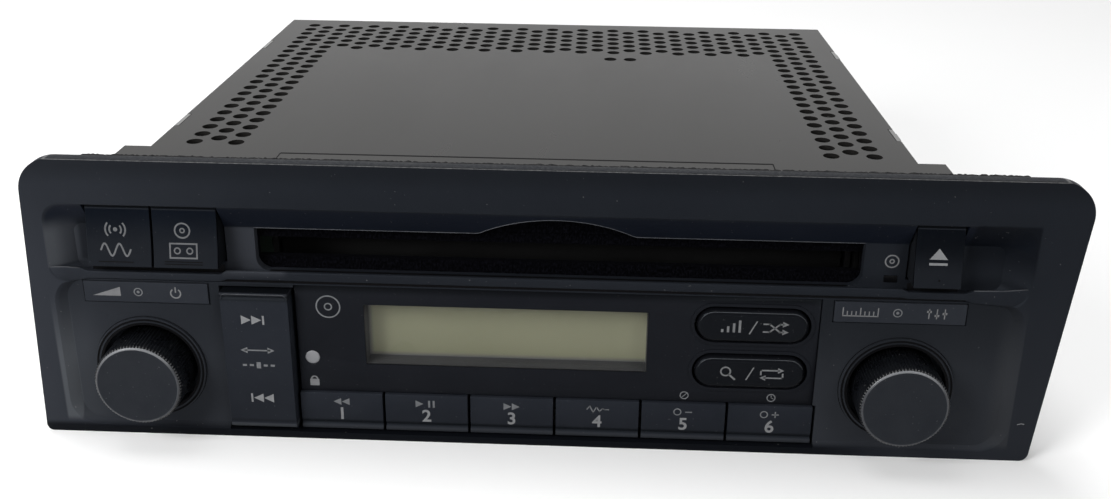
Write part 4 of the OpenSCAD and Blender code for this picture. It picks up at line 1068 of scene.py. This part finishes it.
def lamps():
    """The round security lamp on the panel and the small smoked lamp beside the slot."""
    x, z, radius, sides = PANEL_LEFT + 2.9, 15.2, 1.55, 48
    rings = [(1.48, 0.02, 0), (1.48, 1.15, 0), (1.52, 1.4, 0), (1.62, radius, 0), (LAMP_BACK, radius, 0)]
    faces = ring_faces(len(rings), sides, True, False)
    piece = add_piece("security_lamp", turned(x, z, rings, sides), faces, "lamp_plastic", "chassis")
    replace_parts(piece, "indicator_lamps")
    outline = corners(3.9, LAMP_BACK, 35.45, 36.95)
    bar("disc_lamp", outline, 75.35, 78.05, "lamp_plastic", "chassis", 0.12, "smoked_lamp")


lamps()
disc_sign = ring_shape(1.35, THIN_LINE, 36) + ring_shape(0.42, 0.28, 24)
print_on("disc_sign", disc_sign, 76.6, 40.2, CHANNEL_DEPTH, "chassis", "label_print")
print_on("nick", line_shape([(-0.7, -0.1), (0.0, 0.12), (0.6, 0.02)], 0.2), 106.6, 5.0, 0.0, "chassis")


# Prints on the label plates
LABEL_Z = 29.9
wedge = [[(-3.0, -1.0), (3.0, -1.0), (3.0, 1.1)]]
push = small_ring + dot_shape(0.32)
power = arc_shape(0, -0.1, 1.05, 125, 415, THIN_LINE, 30) + box_shape(0, 0.7, 0.3, 1.3)
scale = line_shape([(-3.6, -0.9), (3.6, -0.9)], 0.26)
for i in range(9):
    tall = 1.9 if i % 4 == 0 else 1.1
    scale += box_shape(-3.6 + 0.9 * i, -0.9 + tall / 2, FINE_LINE, tall)
sliders = []
for i, height in enumerate((0.5, -0.4, 0.1)):
    sliders += box_shape(-1.6 + 1.6 * i, 0, FINE_LINE, 2.3) + box_shape(-1.6 + 1.6 * i, height, 0.95, 0.5)
label_signs = [
    ("volume_print_87", -87.4, wedge, "label_print"), ("volume_print_81", -80.6, push, "dim_print"),
    ("volume_print_73", -72.6, power, "label_print"), ("tune_print_71", 70.6, scale, "label_print"),
    ("tune_print_78", 78.2, push, "dim_print"), ("tune_print_86", 86.2, sliders, "label_print"),
]
for name, x, shapes, shown in label_signs:
    print_on(name, shapes, x, LABEL_Z, LABEL_FACE, "chassis", shown)


# Stage, light and camera
def add_camera():
    data = bpy.data.cameras.new("camera")
    data.sensor_width = 36.0
    data.sensor_fit = "HORIZONTAL"
    data.lens = 37.323
    data.shift_x = 0.0023
    data.shift_y = -0.07
    data.clip_start = 0.01
    camera = bpy.data.objects.new("camera", data)
    bpy.context.collection.objects.link(camera)
    place = at(15.09, -214.42, 138.94)
    right = Vector((0.99906302, 0.04218570, 0.00966691))
    up = Vector((-0.02369704, 0.34630147, 0.93782394))
    turn = Matrix((right, up, right.cross(up))).transposed()
    camera.matrix_world = Matrix.Translation(place) @ turn.to_4x4()
    bpy.context.scene.camera = camera


def add_area_light(name, place, target, size, power):
    data = bpy.data.lights.new(name, "AREA")
    data.shape = "DISK"
    data.size = size
    data.energy = power
    lamp = bpy.data.objects.new(name, data)
    lamp.location = place
    lamp.rotation_euler = (Vector(target) - Vector(place)).to_track_quat("-Z", "Y").to_euler()
    bpy.context.collection.objects.link(lamp)


def where_seen(nodes, links):
    """1 for the rays by which the camera, gloss and glass see a thing, and 0 for its light on others."""
    path = nodes.new("ShaderNodeLightPath")
    seen = path.outputs["Is Camera Ray"]
    for ray in ("Is Glossy Ray", "Is Transmission Ray"):
        either = nodes.new("ShaderNodeMath")
        either.operation = "MAXIMUM"
        links.new(seen, either.inputs[0])
        links.new(path.outputs[ray], either.inputs[1])
        seen = either.outputs[0]
    return seen


def floor_finish():
    """Pale paper. It throws less light up at the part than its colour shows, and is plain white far off."""
    shade = Shader("floor")
    seen = where_seen(shade.nodes, shade.links)
    paper = shade.ramp(shade.noise(3, 5, 0.6), grey(0.88), grey(0.9))
    shade.colour = shade.mix(seen, grey(0.3), paper)
    reach = shade.node("VectorMath", Vector=shade.place)
    reach.operation = "LENGTH"
    white = shade.times(seen, shade.step(reach.outputs["Value"], 0.4, 0.9))
    shade.wash(white, grey(0))
    return shade.paint(0.9, gloss=0.0, Emission_Color=(1, 1, 1, 1), Emission_Strength=white)


def add_floor():
    """Pale floor through the lower edges of the bezel and the chassis, on which the part rests tilted."""
    bpy.ops.mesh.primitive_plane_add(size=8.0)
    floor = bpy.context.object
    floor.name = "floor"
    front = at(0, 0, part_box("front_bezel")[0][2] / MM)
    rear = Vector((0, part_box("bottom_cover")[1][1], 0))
    floor.location = front
    floor.rotation_euler = (math.atan2(rear.z - front.z, rear.y - front.y), 0, 0)
    floor.data.materials.append(floor_finish())


def add_world(level):
    """White where the camera, gloss and glass look, and a plain level of light elsewhere."""
    world = bpy.data.worlds.new("studio")
    world.use_nodes = True
    nodes, links = world.node_tree.nodes, world.node_tree.links
    strength = nodes.new("ShaderNodeMapRange")
    strength.inputs["To Min"].default_value = level
    links.new(where_seen(nodes, links), strength.inputs["Value"])
    background = nodes["Background"]
    background.inputs["Color"].default_value = (1, 1, 1, 1)
    links.new(strength.outputs["Result"], background.inputs["Strength"])
    bpy.context.scene.world = world


add_camera()
add_floor()
add_world(0.3)
add_area_light("key", (-0.3, 0.25, 1.2), (0, 0, 0), size=0.9, power=12)
add_area_light("left", (-0.36, -0.42, 0.3), (-0.05, -0.1, 0.03), size=0.3, power=2.7)
add_area_light("right", (0.5, -0.6, 0.45), (0, -0.1, 0.03), size=0.4, power=2.2)
bpy.context.scene.view_settings.view_transform = "Standard"
